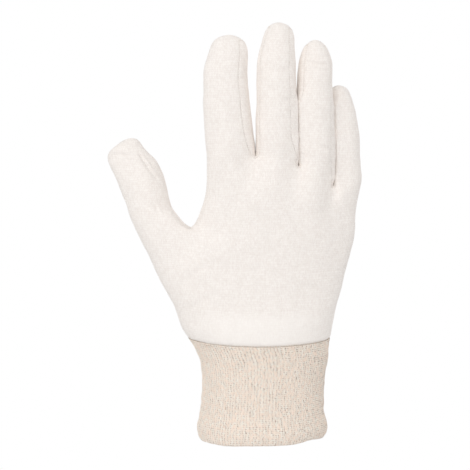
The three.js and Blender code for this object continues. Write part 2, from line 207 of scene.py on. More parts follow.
FINGER_BASE = Section(0, 0, 0, 1, 1)
INDEX_SECTIONS = (
    Section(0.13, -0.004, 0.002, 1.03, 0.98),
    Section(0.32, -0.022, 0.012, 0.99, 0.95),
    Section(0.52, -0.034, 0.03, 0.97, 0.92),
    Section(0.7, -0.036, 0.055, 0.93, 0.86),
    Section(0.84, -0.022, 0.082, 0.84, 0.76),
    Section(0.945, -0.01, 0.102, 0.64, 0.52),
    Section(1, -0.012, 0.11, 0, 0),
)
MIDDLE_SECTIONS = (
    Section(0.13, -0.004, 0.002, 1, 0.98),
    Section(0.32, -0.006, 0.012, 1, 0.95),
    Section(0.53, -0.006, 0.032, 0.97, 0.92),
    Section(0.71, -0.002, 0.058, 0.92, 0.86),
    Section(0.85, 0.01, 0.086, 0.8, 0.76),
    Section(0.95, 0.024, 0.106, 0.6, 0.52),
    Section(1, 0.03, 0.115, 0, 0),
)
RING_SECTIONS = (
    Section(0.13, 0, 0.004, 0.98, 0.98),
    Section(0.32, -0.008, 0.018, 1.025, 0.96),
    Section(0.52, -0.011, 0.042, 1.03, 0.93),
    Section(0.7, -0.007, 0.074, 0.995, 0.88),
    Section(0.84, -0.002, 0.106, 0.93, 0.78),
    Section(0.945, -0.004, 0.132, 0.62, 0.54),
    Section(1, -0.004, 0.142, 0, 0),
)
LITTLE_SECTIONS = (
    Section(0.13, -0.002, 0.006, 0.98, 0.98),
    Section(0.32, -0.012, 0.024, 1, 0.96),
    Section(0.52, -0.026, 0.052, 1, 0.94),
    Section(0.7, -0.046, 0.086, 0.95, 0.88),
    Section(0.85, -0.068, 0.122, 0.8, 0.74),
    Section(0.95, -0.07, 0.148, 0.58, 0.5),
    Section(1, -0.078, 0.16, 0, 0),
)
THUMB_SECTIONS = (
    Section(0.34, 0.024, 0, 0.98, 1.04),
    Section(0.48, 0.032, 0.004, 0.98, 1),
    Section(0.63, 0.044, 0.012, 1.04, 0.98),
    Section(0.77, 0.038, 0.026, 1.03, 0.9),
    Section(0.89, 0.01, 0.042, 0.93, 0.76),
    Section(0.968, -0.012, 0.05, 0.72, 0.54),
    Section(1, -0.012, 0.054, 0, 0),
)
PALM_SECTIONS = (
    PalmSection(0.08, 0.526, 0.456, 0.77, 0.78, 0.06, 0),
    PalmSection(0.19, 0.57, 0.478, 0.69, 0.76, 0.09, 0.03),
    PalmSection(0.333, 0.658, 0.516, 0.6, 0.72, 0.15, 0.08),
    PalmSection(0.49, 0.64, 0.556, 0.54, 0.66, 0.22, 0.12),
    PalmSection(0.612, 0.472, 0.59, 0.5, 0.57, 0.15, 0.1),
    PalmSection(0.73, 0.396, 0.606, 0.475, 0.5, 0.1, 0.05),
    PalmSection(0.857, 0.36, 0.616, 0.45, 0.42, 0.07, 0),
)
CUFF_SECTIONS = (
    CuffSection(0, 0, 1.04, 1.02),
    CuffSection(0.035, 0.002, 1.066, 1.05),
    CuffSection(0.3, 0.004, 1.026, 1.01),
    CuffSection(0.62, 0.014, 1.02, 1),
    CuffSection(0.84, 0.012, 1.075, 1.06),
    CuffSection(1, -0.022, 1.155, 1.17),
)

CREASES = (
    Crease(31, 229.5, 2, 13, 0.49),
    Crease(32, 225, -3, 12, 0.63),
    Crease(31, 221.5, 1, 15, 0.41),
    Crease(37.5, 175, -12, 9, 0.56),
    Crease(16.5, 204, 4, 9, 0.53),
    Crease(9, 221, 2, 14, 0.26),
    Crease(12, 193, -2, 13, 0.26),
    Crease(-18, 216, 3, 15, 0.26),
    Crease(-20, 190, -2, 16, 0.22),
    Crease(-82, 171, 0, 19, 0.56, 0.6),
    Crease(-68, 163.5, -53, 19, 0.77, 0.7),
    Crease(-66, 162, -53, 15, 0.51, 0.6),
    Crease(-62, 138, -60, 14, 0.41),
    Crease(24, 168.5, -80, 13, 0.65, 2.2),
    Crease(41.5, 152, -84, 16, 0.65, 2.4),
    Crease(-40, 101, 34, 26, 0.38, 2.0),
    Crease(-34, 86, 22, 22, 0.30, 1.8),
    Crease(30, 92, -18, 20, 0.30, 1.8),
)
PRESSES = (
    Press(-47, 130.2, -1.1, -1.4, 5),
    Press(-41, 126.8, -0.3, 1.5, 3),
    Press(-8.4, 216, -0.9, 0, 10, Limb.INDEX),
    Press(-3.6, 203, 0.6, 0, 14, Limb.MIDDLE),
    Press(-69, 174, -2.1, -0.7, 7, Limb.THUMB),
    Press(-81, 176, -0.8, 0.8, 5, Limb.THUMB),
)
SOFT_PLACES = (
    SoftPlace(-44.5, 129.5, 8.5, 90),
    SoftPlace(21.9, 163, 4.5, 12),
    SoftPlace(43.2, 151.5, 4.5, 12),
)
TOUCHES = (
    Touch(Limb.MIDDLE, Limb.RING, 209),
    Touch(Limb.RING, Limb.LITTLE, 206),
)
FOLD_LIFTS = (
    FoldLift(-38, 16, 1.5),
    FoldLift(-128, 20, -1.1),
    FoldLift(-4, 14, 0.5),
    FoldLift(-160, 16, -1),
)
# The key and the fill stand in front of the glove's back, and the third lights its palm side
LIGHTS = (
    SoftLight("key_softbox", (-0.9, -1.5, 1.1), 1.4, 13.0),
    SoftLight("fill_softbox", (1.2, -1.4, 0.4), 1.4, 2.4),
    SoftLight("back_softbox", (0.9, 1.5, 0.9), 1.4, 8.0),
)

# How the join of the hem and the knit wrist rises from its middle to its sides, in mm
HEM_RISE_MIDDLE = 0.4
HEM_RISE_SIDE = 1.5
HEM_HALF_WIDTH = 41.0
HEM_RISE_REACH = 18.0

# A stitch's way over a seam between panels, and over the join of the hem and the knit wrist: mm along the
# seam, across it (for the hem, up) and out of the cloth
SEAM_ROUTE = ((-0.25, -0.75, -0.15), (-0.14, -0.42, 0), (0, 0, 0.04), (0.14, 0.42, 0), (0.25, 0.75, -0.15))
HEM_ROUTE = ((0.3, 1.1, 0.5), (0.15, 0.5, 0.45), (0, -0.1, 0.25), (-0.15, -0.8, 0.2), (-0.3, -1.5, -0.1))

# Places round a finger's ring, in degrees: at the thumb side, three at the back, at the little-finger side,
# and three at the palm
RING_ANGLES = (180, 140, 90, 40, 0, -40, -90, -140)
THUMB_SIDE, BACK_MIDDLE, LITTLE_SIDE, PALM_MIDDLE = 0, 2, 4, 6

# A finger's roll grows from nothing at its base to the whole at this share of its length
ROLL_REACH = 0.25
FIT_PASSES = 12
NOISE_WAVES = 14
NOISE_PITCHES = (0.7, 1.6)
SHORTEST = 1e-12


def hem_rise(x: np.ndarray) -> np.ndarray:
    """Works out how much higher than level the hem and the top of the knit wrist lie, in mm.

    Args:
        x: the places, in mm to the right.

    Returns:
        The rise at each place: the join hangs lowest at the middle.
    """
    aside = np.clip(np.abs(x) / HEM_HALF_WIDTH, 0, 1)
    return HEM_RISE_MIDDLE + (HEM_RISE_SIDE - HEM_RISE_MIDDLE) * aside**2


def linear_from_hex(colour: str) -> tuple[float, float, float, float]:
    """Turns an sRGB hex colour to linear.

    Args:
        colour: six hex digits after a #.

    Returns:
        Linear red, green, blue and an alpha of 1.
    """
    shares = [int(colour[i : i + 2], 16) / 255 for i in (1, 3, 5)]
    red, green, blue = (c / 12.92 if c <= 0.04045 else ((c + 0.055) / 1.055) ** 2.4 for c in shares)
    return red, green, blue, 1.0


def unit(rows: np.ndarray) -> np.ndarray:
    """Gives each row vector at length 1."""
    return rows / np.maximum(np.linalg.norm(rows, axis=-1, keepdims=True), SHORTEST)


def smooth_through(at: np.ndarray, knots: Sequence[float], values: Sequence[float]) -> np.ndarray:
    """Draws a smooth curve through set values.

    Args:
        at: where the curve is read.
        knots: where the values are set, in rising order.
        values: the value at each knot.

    Returns:
        The curve's value at each place.
    """
    x, y = np.asarray(knots, float), np.asarray(values, float)
    slopes = np.gradient(y, x)
    cell = np.clip(np.searchsorted(x, at, side="right") - 1, 0, len(x) - 2)
    width = x[cell + 1] - x[cell]
    t = np.clip((at - x[cell]) / width, 0, 1)
    rise = (1 + 2 * t) * (1 - t) ** 2 * y[cell] + t * t * (3 - 2 * t) * y[cell + 1]
    turn = t * (1 - t) ** 2 * slopes[cell] - t * t * (1 - t) * slopes[cell + 1]
    return rise + turn * width


def soft_noise(points: np.ndarray, size: float, relief: Relief) -> np.ndarray:
    """Makes smooth random relief from a few crossing waves.

    Args:
        points: where it is read, in mm.
        size: the usual distance between two bumps, in mm.
        relief: which of the random reliefs it is.

    Returns:
        About -1 to 1 at each point.
    """
    rng = np.random.default_rng(SEED + relief.value)
    total = np.zeros(len(points))
    for _ in range(NOISE_WAVES):
        direction = unit(rng.normal(size=3))
        pitch = size * rng.uniform(*NOISE_PITCHES)
        total += np.sin(points @ direction * (2 * math.pi / pitch) + rng.uniform(0, 2 * math.pi))
    return total / math.sqrt(NOISE_WAVES)


def eased(share: np.ndarray) -> np.ndarray:
    """Gives a share from 0 to 1 a soft start and end."""
    return share**2 * (3 - 2 * share)


def tree_of(points: np.ndarray, chosen: np.ndarray) -> KDTree:
    """Makes a search tree of some of the points.

    Args:
        points: all points.
        chosen: the numbers of those that the tree gets.

    Returns:
        The tree.
    """
    tree = KDTree(len(chosen))
    for i in chosen:
        tree.insert(points[i], int(i))
    tree.balance()
    return tree


def span(keys: np.ndarray, values: np.ndarray, size: int) -> tuple[np.ndarray, np.ndarray]:
    """Finds the lowest and the highest value at each key.

    Args:
        keys: the key of each value.
        values: whole numbers from 0.
        size: how many keys there are.

    Returns:
        The lowest and the highest value of each key.
    """
    lowest, highest = np.full(size, len(PANELS)), np.full(size, -1)
    np.minimum.at(lowest, keys, values)
    np.maximum.at(highest, keys, values)
    return lowest, highest


@dataclass
class QuadMesh:
    """Quads that each name their panel by its place in PANELS, and their limb by its value."""

    points: np.ndarray
    faces: np.ndarray
    panels: np.ndarray
    limbs: np.ndarray

    def edges(self) -> tuple[np.ndarray, np.ndarray, np.ndarray]:
        """Finds the edges.

        Returns:
            The edges as sorted pairs, the edge of each side of each face, and how many faces each edge has.
        """
        sides = np.stack([self.faces, np.roll(self.faces, -1, axis=1)], axis=-1).reshape(-1, 2)
        sides = np.sort(sides, axis=1)
        pairs, of_side, count = np.unique(sides, axis=0, return_inverse=True, return_counts=True)
        return pairs, of_side.reshape(self.faces.shape), count

    def gather(self, targets: np.ndarray, values: np.ndarray) -> np.ndarray:
        """Sums a value for each target point.

        Args:
            targets: the point that each value goes to.
            values: one row for each target.

        Returns:
            One row for each point.
        """
        columns = [np.bincount(targets, weights=v, minlength=len(self.points)) for v in values.T]
        return np.stack(columns, axis=1)

    def around(self) -> tuple[np.ndarray, np.ndarray, np.ndarray, np.ndarray, np.ndarray]:
        """Sums what lies round each point.

        Returns:
            The number of edges, the sums over the edges and the faces' far corners, the sum along the rim,
            and whether the point lies on the rim.
        """
        pairs, _, count = self.edges()
        both = np.concatenate([pairs, pairs[:, ::-1]])
        valence = np.bincount(both[:, 0], minlength=len(self.points)).astype(float)[:, None]
        near = self.gather(both[:, 0], self.points[both[:, 1]])
        across = self.gather(self.faces.ravel(), self.points[np.roll(self.faces, -2, axis=1).ravel()])
        rim = pairs[count == 1]
        rim = np.concatenate([rim, rim[:, ::-1]])
        along = self.gather(rim[:, 0], self.points[rim[:, 1]])
        on_rim = np.zeros((len(self.points), 1), bool)
        on_rim[rim[:, 0]] = True
        return valence, near, across, along, on_rim

    def limit(self) -> np.ndarray:
        """Finds the place of each point on the smooth (Catmull-Clark) surface.

        Returns:
            The places.
        """
        n, near, across, along, on_rim = self.around()
        inside = (n * n * self.points + 4 * near + across) / (n * (n + 5))
        return np.where(on_rim, (4 * self.points + along) / 6, inside)

    def through(self) -> QuadMesh:
        """Moves the points until the smooth surface passes through the places that they had.

        Returns:
            The mesh with the moved points.
        """
        moved = QuadMesh(self.points.copy(), self.faces, self.panels, self.limbs)
        for _ in range(FIT_PASSES):
            moved.points = moved.points + self.points - moved.limit()
        return moved

    def subdivided(self) -> QuadMesh:
        """Does one round of Catmull-Clark subdivision.

        Returns:
            The finer mesh. The points that it had stay first, then come those of the edges and the faces.
        """
        pairs, of_side, count = self.edges()
        n, near, across, along, on_rim = self.around()
        inside = ((4 * n * n - 7 * n) * self.points + 6 * near + across) / (4 * n * n)
        corners = np.where(on_rim, (6 * self.points + along) / 8, inside)
        centres = self.points[self.faces].mean(axis=1)
        ends = self.points[pairs].sum(axis=1)
        beside = np.zeros_like(ends)
        np.add.at(beside, of_side.ravel(), np.repeat(centres, 4, axis=0))
        middles = np.where(count[:, None] == 2, (ends + beside) / 4, ends / 2)
        first_middle = len(self.points)
        first_centre = first_middle + len(pairs)
        middle = first_middle + of_side
        centre = np.repeat(first_centre + np.arange(len(self.faces))[:, None], 4, axis=1)
        quads = np.stack([self.faces, middle, centre, np.roll(middle, 1, axis=1)], axis=-1)
        points = np.concatenate([corners, middles, centres])
        return QuadMesh(points, quads.reshape(-1, 4), np.repeat(self.panels, 4), np.repeat(self.limbs, 4))

    def normals(self) -> np.ndarray:
        """Works out the outward normal at each point.

        Returns:
            The normals, each of length 1.
        """
        a, b, c, d = (self.points[self.faces[:, k]] for k in range(4))
        across = np.cross(c - a, d - b)
        return unit(self.gather(self.faces.ravel(), np.repeat(across, 4, axis=0)))


@dataclass(frozen=True)
class Finger:
    """A finger or thumb, measured over the cloth."""

    length: float
    width: float
    depth: float
    place: Place
    sections: tuple[Section, ...]

    def rings(self, base: np.ndarray) -> list[tuple[np.ndarray, np.ndarray]]:
        """Lays the sections out from the finger's base.

        Args:
            base: the centre of the finger's base.

        Returns:
            The centre and the eight points of each section.
        """
        lean, tip = math.radians(self.place.lean), math.radians(self.place.forward_lean)
        along = np.array([-math.sin(lean) * math.cos(tip), math.sin(tip), math.cos(lean) * math.cos(tip)])
        aside = np.array([math.cos(lean), 0, math.sin(lean)])
        palmwards = unit(np.array([0, 1, 0]) - along[1] * along)
        stations = (FINGER_BASE, *self.sections)
        centres = [
            base + self.length * (s.along * along + s.bow * aside + s.curl * palmwards) for s in stations
        ]
        rings = []
        for i, section in enumerate(stations):
            axis = unit(centres[min(i + 1, len(centres) - 1)] - centres[max(i - 1, 0)])
            side = unit(aside - (aside @ axis) * axis)
            back = np.cross(side, axis)
            roll = self.place.roll * min(1, section.along / ROLL_REACH)
            angles = np.radians(np.array(RING_ANGLES) + roll)[:, None]
            across = np.cos(angles) * side * section.wide * self.width / 2
            over = np.sin(angles) * back * section.deep * self.depth / 2
            rings.append((centres[i], centres[i] + across + over))
        return rings


class Cage:
    """The places that the finished surface passes through, and faces that each name their panel."""

    def __init__(self) -> None:
        """Starts with no points and no faces."""
        self.points: list[np.ndarray] = []
        self.faces: list[Sequence[int]] = []
        self.panels: list[int] = []
        self.limbs: list[int] = []

    def point(self, place: np.ndarray) -> int:
        """Adds a point, and gives its number."""
        self.points.append(np.asarray(place, float))
        return len(self.points) - 1

    def face(self, corners: Sequence[int], panel: Panel, limb: Limb) -> None:
        """Adds one quad.

        Args:
            corners: the numbers of its points.
            panel: the panel that it belongs to.
            limb: the limb that it belongs to.
        """
        self.faces.append(corners)
        self.panels.append(PANELS.index(panel))
        self.limbs.append(limb.value)

    def band(self, lower: list[int], upper: list[int], panels: Sequence[Panel], limb: Limb) -> None:
        """Adds the quads between two rings.

        Args:
            lower: the points of the lower ring.
            upper: the points of the upper ring.
            panels: the panel of each side, in the ring's order.
            limb: the limb that they belong to.
        """
        for i, panel in enumerate(panels):
            j = (i + 1) % len(lower)
            self.face([lower[i], lower[j], upper[j], upper[i]], panel, limb)

    def finger(
        self,
        base: list[int],
        rings: list[tuple[np.ndarray, np.ndarray]],
        panels: Sequence[Panel],
        limb: Limb,
    ) -> None:
        """Adds a finger's tube and rounded tip above a ring that the cage already has.

        Args:
            base: the points of that ring.
            rings: the finger's sections, the base's own first.
            panels: the panel of each side.
            limb: which finger it is.
        """
        below = base
        for _, ring in rings[1:-1]:
            above = [self.point(p) for p in ring]
            self.band(below, above, panels, limb)
            below = above
        top = self.point(rings[-1][0])
        left, back_left, back, back_right, right, palm_right, palm, palm_left = below
        self.face([top, left, back_left, back], Panel.BACK, limb)
        self.face([top, back, back_right, right], Panel.BACK, limb)
        self.face([top, right, palm_right, palm], Panel.PALM, limb)
        self.face([top, palm, palm_left, left], Panel.PALM, limb)

    def mesh(self) -> QuadMesh:
        """Gives the cage as arrays."""
        return QuadMesh(*(np.array(rows) for rows in (self.points, self.faces, self.panels, self.limbs)))


@dataclass
class GloveForm:
    """The form of the glove's body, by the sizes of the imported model.

    Lengths are in mm. The palm's squareness is its power at the hem, its power further up and the share of
    the height where that is reached. The dents are shares of the depth kept at the back and at the palm. The
    thumb's root is shares of the breadth, the palm's length and its depth, and its rows are numbers of the
    palm's sections.
    """

    cuff_length: float = 59.5
    cuff_width: float = 73
    cuff_depth: float = 46
    seam_gap: float = 0.3
    palm_length: float = 110
    palm_depth: float = 35
    web_depth: float = 12
    web_sag: float = 0.05
    hem_overhang: float = 0.8
    slit: float = 0.8
    knuckles_left: float = 0.354
    squareness: tuple[float, float, float] = (2, 2.7, 0.5)
    settling: float = 0.8
    dent_row: int = 6
    dents: tuple[float, float] = (0.9, 0.93)
    web_drops: tuple[float, float, float] = (0, 0.05, 0.16)
    thumb_root: tuple[float, float, float] = (0.625, 0.455, 0.12)
    thumb_rows: tuple[int, int, int] = (2, 3, 4)
    fingers: tuple[Finger, ...] = (
        Finger(75.4, 28.4, 23.5, Place(0.026, -0.075, 14), INDEX_SECTIONS),
        Finger(82.5, 24.6, 22.5, Place(0.024, -0.075, 8), MIDDLE_SECTIONS),
        Finger(79.5, 21.2, 20.5, Place(0.086, 0, -8), RING_SECTIONS),
        Finger(58.5, 18, 18.5, Place(0.14, 0.225, 0), LITTLE_SECTIONS),
    )
    thumb: Finger = Finger(75, 26.6, 24, Place(0, 0, 12, 22.3, 9), THUMB_SECTIONS)

    @property
    def hem_height(self) -> float:
        """How high the body's hem is."""
        return self.cuff_length + self.seam_gap

    def _finger_places(self) -> tuple[float, list[np.ndarray]]:
        """Works out where the fingers stand.

        Returns:
            The breadth over the knuckles, and the centre of each finger's base.
        """
        across = [self.fingers[0].width / 2]
        for last, this in zip(self.fingers, self.fingers[1:]):
            reach = (last.width + this.width) / 2 + self.slit
            behind = (this.place.behind - last.place.behind) * self.palm_depth
            across.append(across[-1] + math.sqrt(reach**2 - behind**2))
        breadth = across[-1] + self.fingers[-1].width / 2
        bases = []
        for x, finger in zip(across, self.fingers):
            height = self.hem_height + (1 - finger.place.drop) * self.palm_length
            y = finger.place.behind * self.palm_depth
            bases.append(np.array([x - self.knuckles_left * breadth, y, height]))
        return breadth, bases

    def _web(self, cage: Cage, drop: float, left: np.ndarray, right: np.ndarray, y: float) -> list[int]:
        """Adds the three points of one web.

        Args:
            cage: the cage that gets them.
            drop: how far the web stands below the palm's full length, as a share.
            left: the last finger's point that faces it.
            right: the next finger's point that faces it.
            y: the middle of the web's depth.

        Returns:
            The points' numbers, from the back to the palm.
        """
        z = self.hem_height + (1 - drop) * self.palm_length
        x = (left[0] + right[0]) / 2
        points = []
        for side in (-0.5, 0, 0.5):
            sag = 2 * abs(side) * self.web_sag * self.web_depth
            points.append(cage.point(np.array([x, y + side * self.web_depth, z - sag])))
        return points

    def _add_fingers(self, cage: Cage, bases: list[np.ndarray]) -> tuple[list[int], set[int]]:
        """Adds the four fingers, joined at their webs.

        Args:
            cage: the cage that gets them.
            bases: the centre of each finger's base.

        Returns:
            The ring of points where the palm ends, and which of them are the webs'.
        """
        rings = [finger.rings(base) for finger, base in zip(self.fingers, bases)]
        first_rings = [finger_rings[0][1] for finger_rings in rings]
        webs = []
        for i, drop in enumerate(self.web_drops):
            left, right = first_rings[i][LITTLE_SIDE], first_rings[i + 1][THUMB_SIDE]
            webs.append(self._web(cage, drop, left, right, (bases[i][1] + bases[i + 1][1]) / 2))

        def own(finger: int, places: Iterable[int]) -> list[int]:
            """Adds some of the points of a finger's own base, and gives their numbers."""
            return [cage.point(first_rings[finger][place]) for place in places]

        index = own(0, [THUMB_SIDE, THUMB_SIDE + 1, BACK_MIDDLE, PALM_MIDDLE, PALM_MIDDLE + 1])
        middle, ring = (own(finger, [BACK_MIDDLE, PALM_MIDDLE]) for finger in (1, 2))
        little = own(3, range(BACK_MIDDLE, PALM_MIDDLE + 1))
        first, second, third = webs
        starts = [
            [index[0], index[1], index[2], *first, index[3], index[4]],
            [first[1], first[0], middle[0], *second, middle[1], first[2]],
            [second[1], second[0], ring[0], *third, ring[1], second[2]],
            [third[1], third[0], *little, third[2]],
        ]
        for i, start in enumerate(starts):
            panels = [Panel.BACK] * 4 + [Panel.PALM] * 4
            if i > 0:
                panels[0] = panels[7] = FOURCHETTES[i - 1]
            if i < len(FOURCHETTES):
                panels[3] = panels[4] = FOURCHETTES[i]
            cage.finger(start, rings[i], panels, FINGERS[i])
        back = [index[0], index[1], index[2], first[0], middle[0], second[0], ring[0], third[0]]
        front = [third[2], ring[1], second[2], middle[1], first[2], index[3], index[4]]
        return [*back, *little, *front], set(first + second + third)

    def _share_across(self, section: PalmSection, column: int, tops: np.ndarray) -> float:
        """Works out how far across the palm's section a column stands.

        Args:
            section: the palm's section.
            column: the column's number.
            tops: the points where the palm ends.

        Returns:
            From -1 at the thumb side to 1 at the little finger.
        """
        columns = len(tops)
        left, right = tops[0][0], tops[columns // 2][0]
        settle = section.up**self.settling

        def plain(c: int) -> float:
            """Works out the share of a column that no thumb moves.

            Args:
                c: the column's number.

            Returns:
                From -1 to 1.
            """
            at_top = 2 * (tops[c][0] - left) / (right - left) - 1
            at_hem = -math.cos(2 * math.pi * c / columns)
            return at_hem + (at_top - at_hem) * settle

        from_thumb_side = min(column, columns - column)
        if from_thumb_side == 1:
            return section.inset - 1
        if from_thumb_side == 2:
            return (section.inset - 1 + plain(3)) / 2
        return plain(column)

    def _palm_point(self, section: PalmSection, column: int, tops: np.ndarray, breadth: float) -> np.ndarray:
        """Places a point of a palm section, which lines up with the fingers' own arch as it nears them.

        Args:
            section: the palm's section.
            column: the column's number.
            tops: the points where the palm ends.
            breadth: the breadth over the knuckles.

        Returns:
            The point.
        """
        left, right = -section.left * breadth, section.right * breadth
        share = self._share_across(section, column, tops)
        x = (left + right) / 2 + share * (right - left) / 2
        at_hem, at_palm, reached = self.squareness
        power = at_hem + (at_palm - at_hem) * min(1, section.up / reached)
        swell = math.sqrt(max(1 - abs(share) ** power, 0))
        depth = -section.back if column <= len(tops) / 2 else section.front
        edge = section.forward * max(0, -share) ** 2
        opposite = tops[(len(tops) - column) % len(tops)]
        arched = (tops[column][1] + opposite[1]) / 2 * section.up ** (2 * self.settling)
        z = self.hem_height + (tops[column][2] - self.hem_height) * section.up
        return np.array([x, (edge + depth * swell) * self.palm_depth + arched, z])

    def _add_hem(self, cage: Cage, columns: int) -> list[int]:
        """Adds the hem's ring, an ellipse that stands a little proud of the knit wrist.

        Args:
            cage: the cage that gets it.
            columns: how many points it has.

        Returns:
            The points' numbers.
        """
        top = CUFF_SECTIONS[-1]
        half_width = top.wide * self.cuff_width / 2 + self.hem_overhang
        half_depth = top.deep * self.cuff_depth / 2 + self.hem_overhang
        ring = []
        for c in range(columns):
            angle = 2 * math.pi * c / columns
            x = top.aside * self.cuff_width - math.cos(angle) * half_width
            ring.append(cage.point(np.array([x, -math.sin(angle) * half_depth, self.hem_height])))
        return ring

    def _add_palm(
        self, cage: Cage, top_ring: list[int], webs: set[int], breadth: float
    ) -> list[list[int | None]]:
        """Adds the palm between the hem and the fingers. One point is left out for the thumb.

        Args:
            cage: the cage that gets it.
            top_ring: the points where the palm ends.
            webs: which of them are the webs'.
            breadth: the breadth over the knuckles.

        Returns:
            The points of each section.
        """
        tops = np.array([cage.points[i] for i in top_ring])
        columns = len(top_ring)
        rows: list[list[int | None]] = []
        for number, section in enumerate(PALM_SECTIONS):
            row: list[int | None] = []
            for c, top in enumerate(top_ring):
                if c == 0 and number == self.thumb_rows[1]:
                    row.append(None)
                    continue
                place = self._palm_point(section, c, tops, breadth)
                if number == self.dent_row and top in webs:
                    place[1] *= self.dents[0] if place[1] < 0 else self.dents[1]
                row.append(cage.point(place))
            rows.append(row)
        levels = [self._add_hem(cage, columns), *rows, top_ring]
        for lower, upper in zip(levels, levels[1:]):
            for c in range(columns):
                d = (c + 1) % columns
                corners = [lower[c], lower[d], upper[d], upper[c]]
                if None not in corners:
                    cage.face(corners, Panel.BACK if c < columns / 2 else Panel.PALM, Limb.PALM)
        return rows

    def _add_thumb(self, cage: Cage, rows: list[list[int | None]], breadth: float) -> None:
        """Adds the thumb at the opening that the palm leaves on its thumb side.

        Args:
            cage: the cage that gets it.
            rows: the points of each palm section.
            breadth: the breadth over the knuckles.
        """
        low, middle, high = (rows[r] for r in self.thumb_rows)
        back = [low[0], low[1], middle[1], high[1]]
        front = [high[0], high[-1], middle[-1], low[-1]]
        opening = [*back, *front]
        left, up, forward = self.thumb_root
        height = self.hem_height + up * self.palm_length
        base = np.array([-left * breadth, forward * self.palm_depth, height])
        rings = self.thumb.rings(base)
        root = [cage.point((cage.points[i] + p) / 2) for i, p in zip(opening, rings[1][1])]
        panels = [Panel.BACK] * 4 + [Panel.PALM] * 4
        cage.band(opening, root, panels, Limb.THUMB)
        cage.finger(root, rings, panels, Limb.THUMB)

    def cage(self) -> QuadMesh:
        """Builds the whole body as a cage.

        Returns:
            The cage.
        """
        cage = Cage()
        breadth, bases = self._finger_places()
        top_ring, webs = self._add_fingers(cage, bases)
        rows = self._add_palm(cage, top_ring, webs, breadth)
        self._add_thumb(cage, rows, breadth)
        return cage.mesh()


class Kind(Enum):
    """The kinds of shader node in the finishes."""

    MATH = "ShaderNodeMath"
    RANGE = "ShaderNodeMapRange"
    MIX = "ShaderNodeMix"
    NOISE = "ShaderNodeTexNoise"
    CHANCE = "ShaderNodeTexWhiteNoise"
    JOIN = "ShaderNodeCombineXYZ"
    SPLIT = "ShaderNodeSeparateXYZ"
    KNIT_PLACE = "ShaderNodeUVMap"
    OBJECT_PLACE = "ShaderNodeTexCoord"
    BUMP = "ShaderNodeBump"
    CLOTH = "ShaderNodeBsdfPrincipled"
    GLOW = "ShaderNodeEmission"
    OUTPUT = "ShaderNodeOutputMaterial"


def add_node(
    tree: bpy.types.NodeTree,
    kind: Kind,
    inputs: dict[str | int, Any] | None = None,
    **settings: Any,
) -> bpy.types.Node:
    """Adds a node with its settings and links.

    Args:
        tree: the node tree that gets it.
        kind: the kind of node.
        inputs: for each input by name or number, a value, a socket that is linked, or a node whose first
            output is linked.
        settings: the node's own settings.

    Returns:
        The node.
    """
    node = tree.nodes.new(kind.value)
    for name, value in settings.items():
        setattr(node, name, value)
    for name, value in (inputs or {}).items():
        source = value.outputs[0] if isinstance(value, bpy.types.Node) else value
        if isinstance(source, bpy.types.NodeSocket):
            tree.links.new(source, node.inputs[name])
        else:
            node.inputs[name].default_value = source
    return node


def new_material(name: str) -> tuple[bpy.types.Material, bpy.types.NodeTree]:
    """Starts a material with an empty node tree.

    Args:
        name: the material's name.

    Returns:
        The material and its tree.
    """
    material = bpy.data.materials.new(name)
    material.use_nodes = True
    material.node_tree.nodes.clear()
    return material, material.node_tree


def weighted(tree: bpy.types.NodeTree, terms: Iterable[tuple[Any, float]]) -> Any:
    """Adds up some values, each times its weight.

    Args:
        tree: the node tree that gets the nodes.
        terms: each node or socket with its weight.

    Returns:
        The node that gives the sum.
    """
    total: Any = 0.0
    for value, weight in terms:
        total = add_node(tree, Kind.MATH, {0: value, 1: weight, 2: total}, operation="MULTIPLY_ADD")
    return total


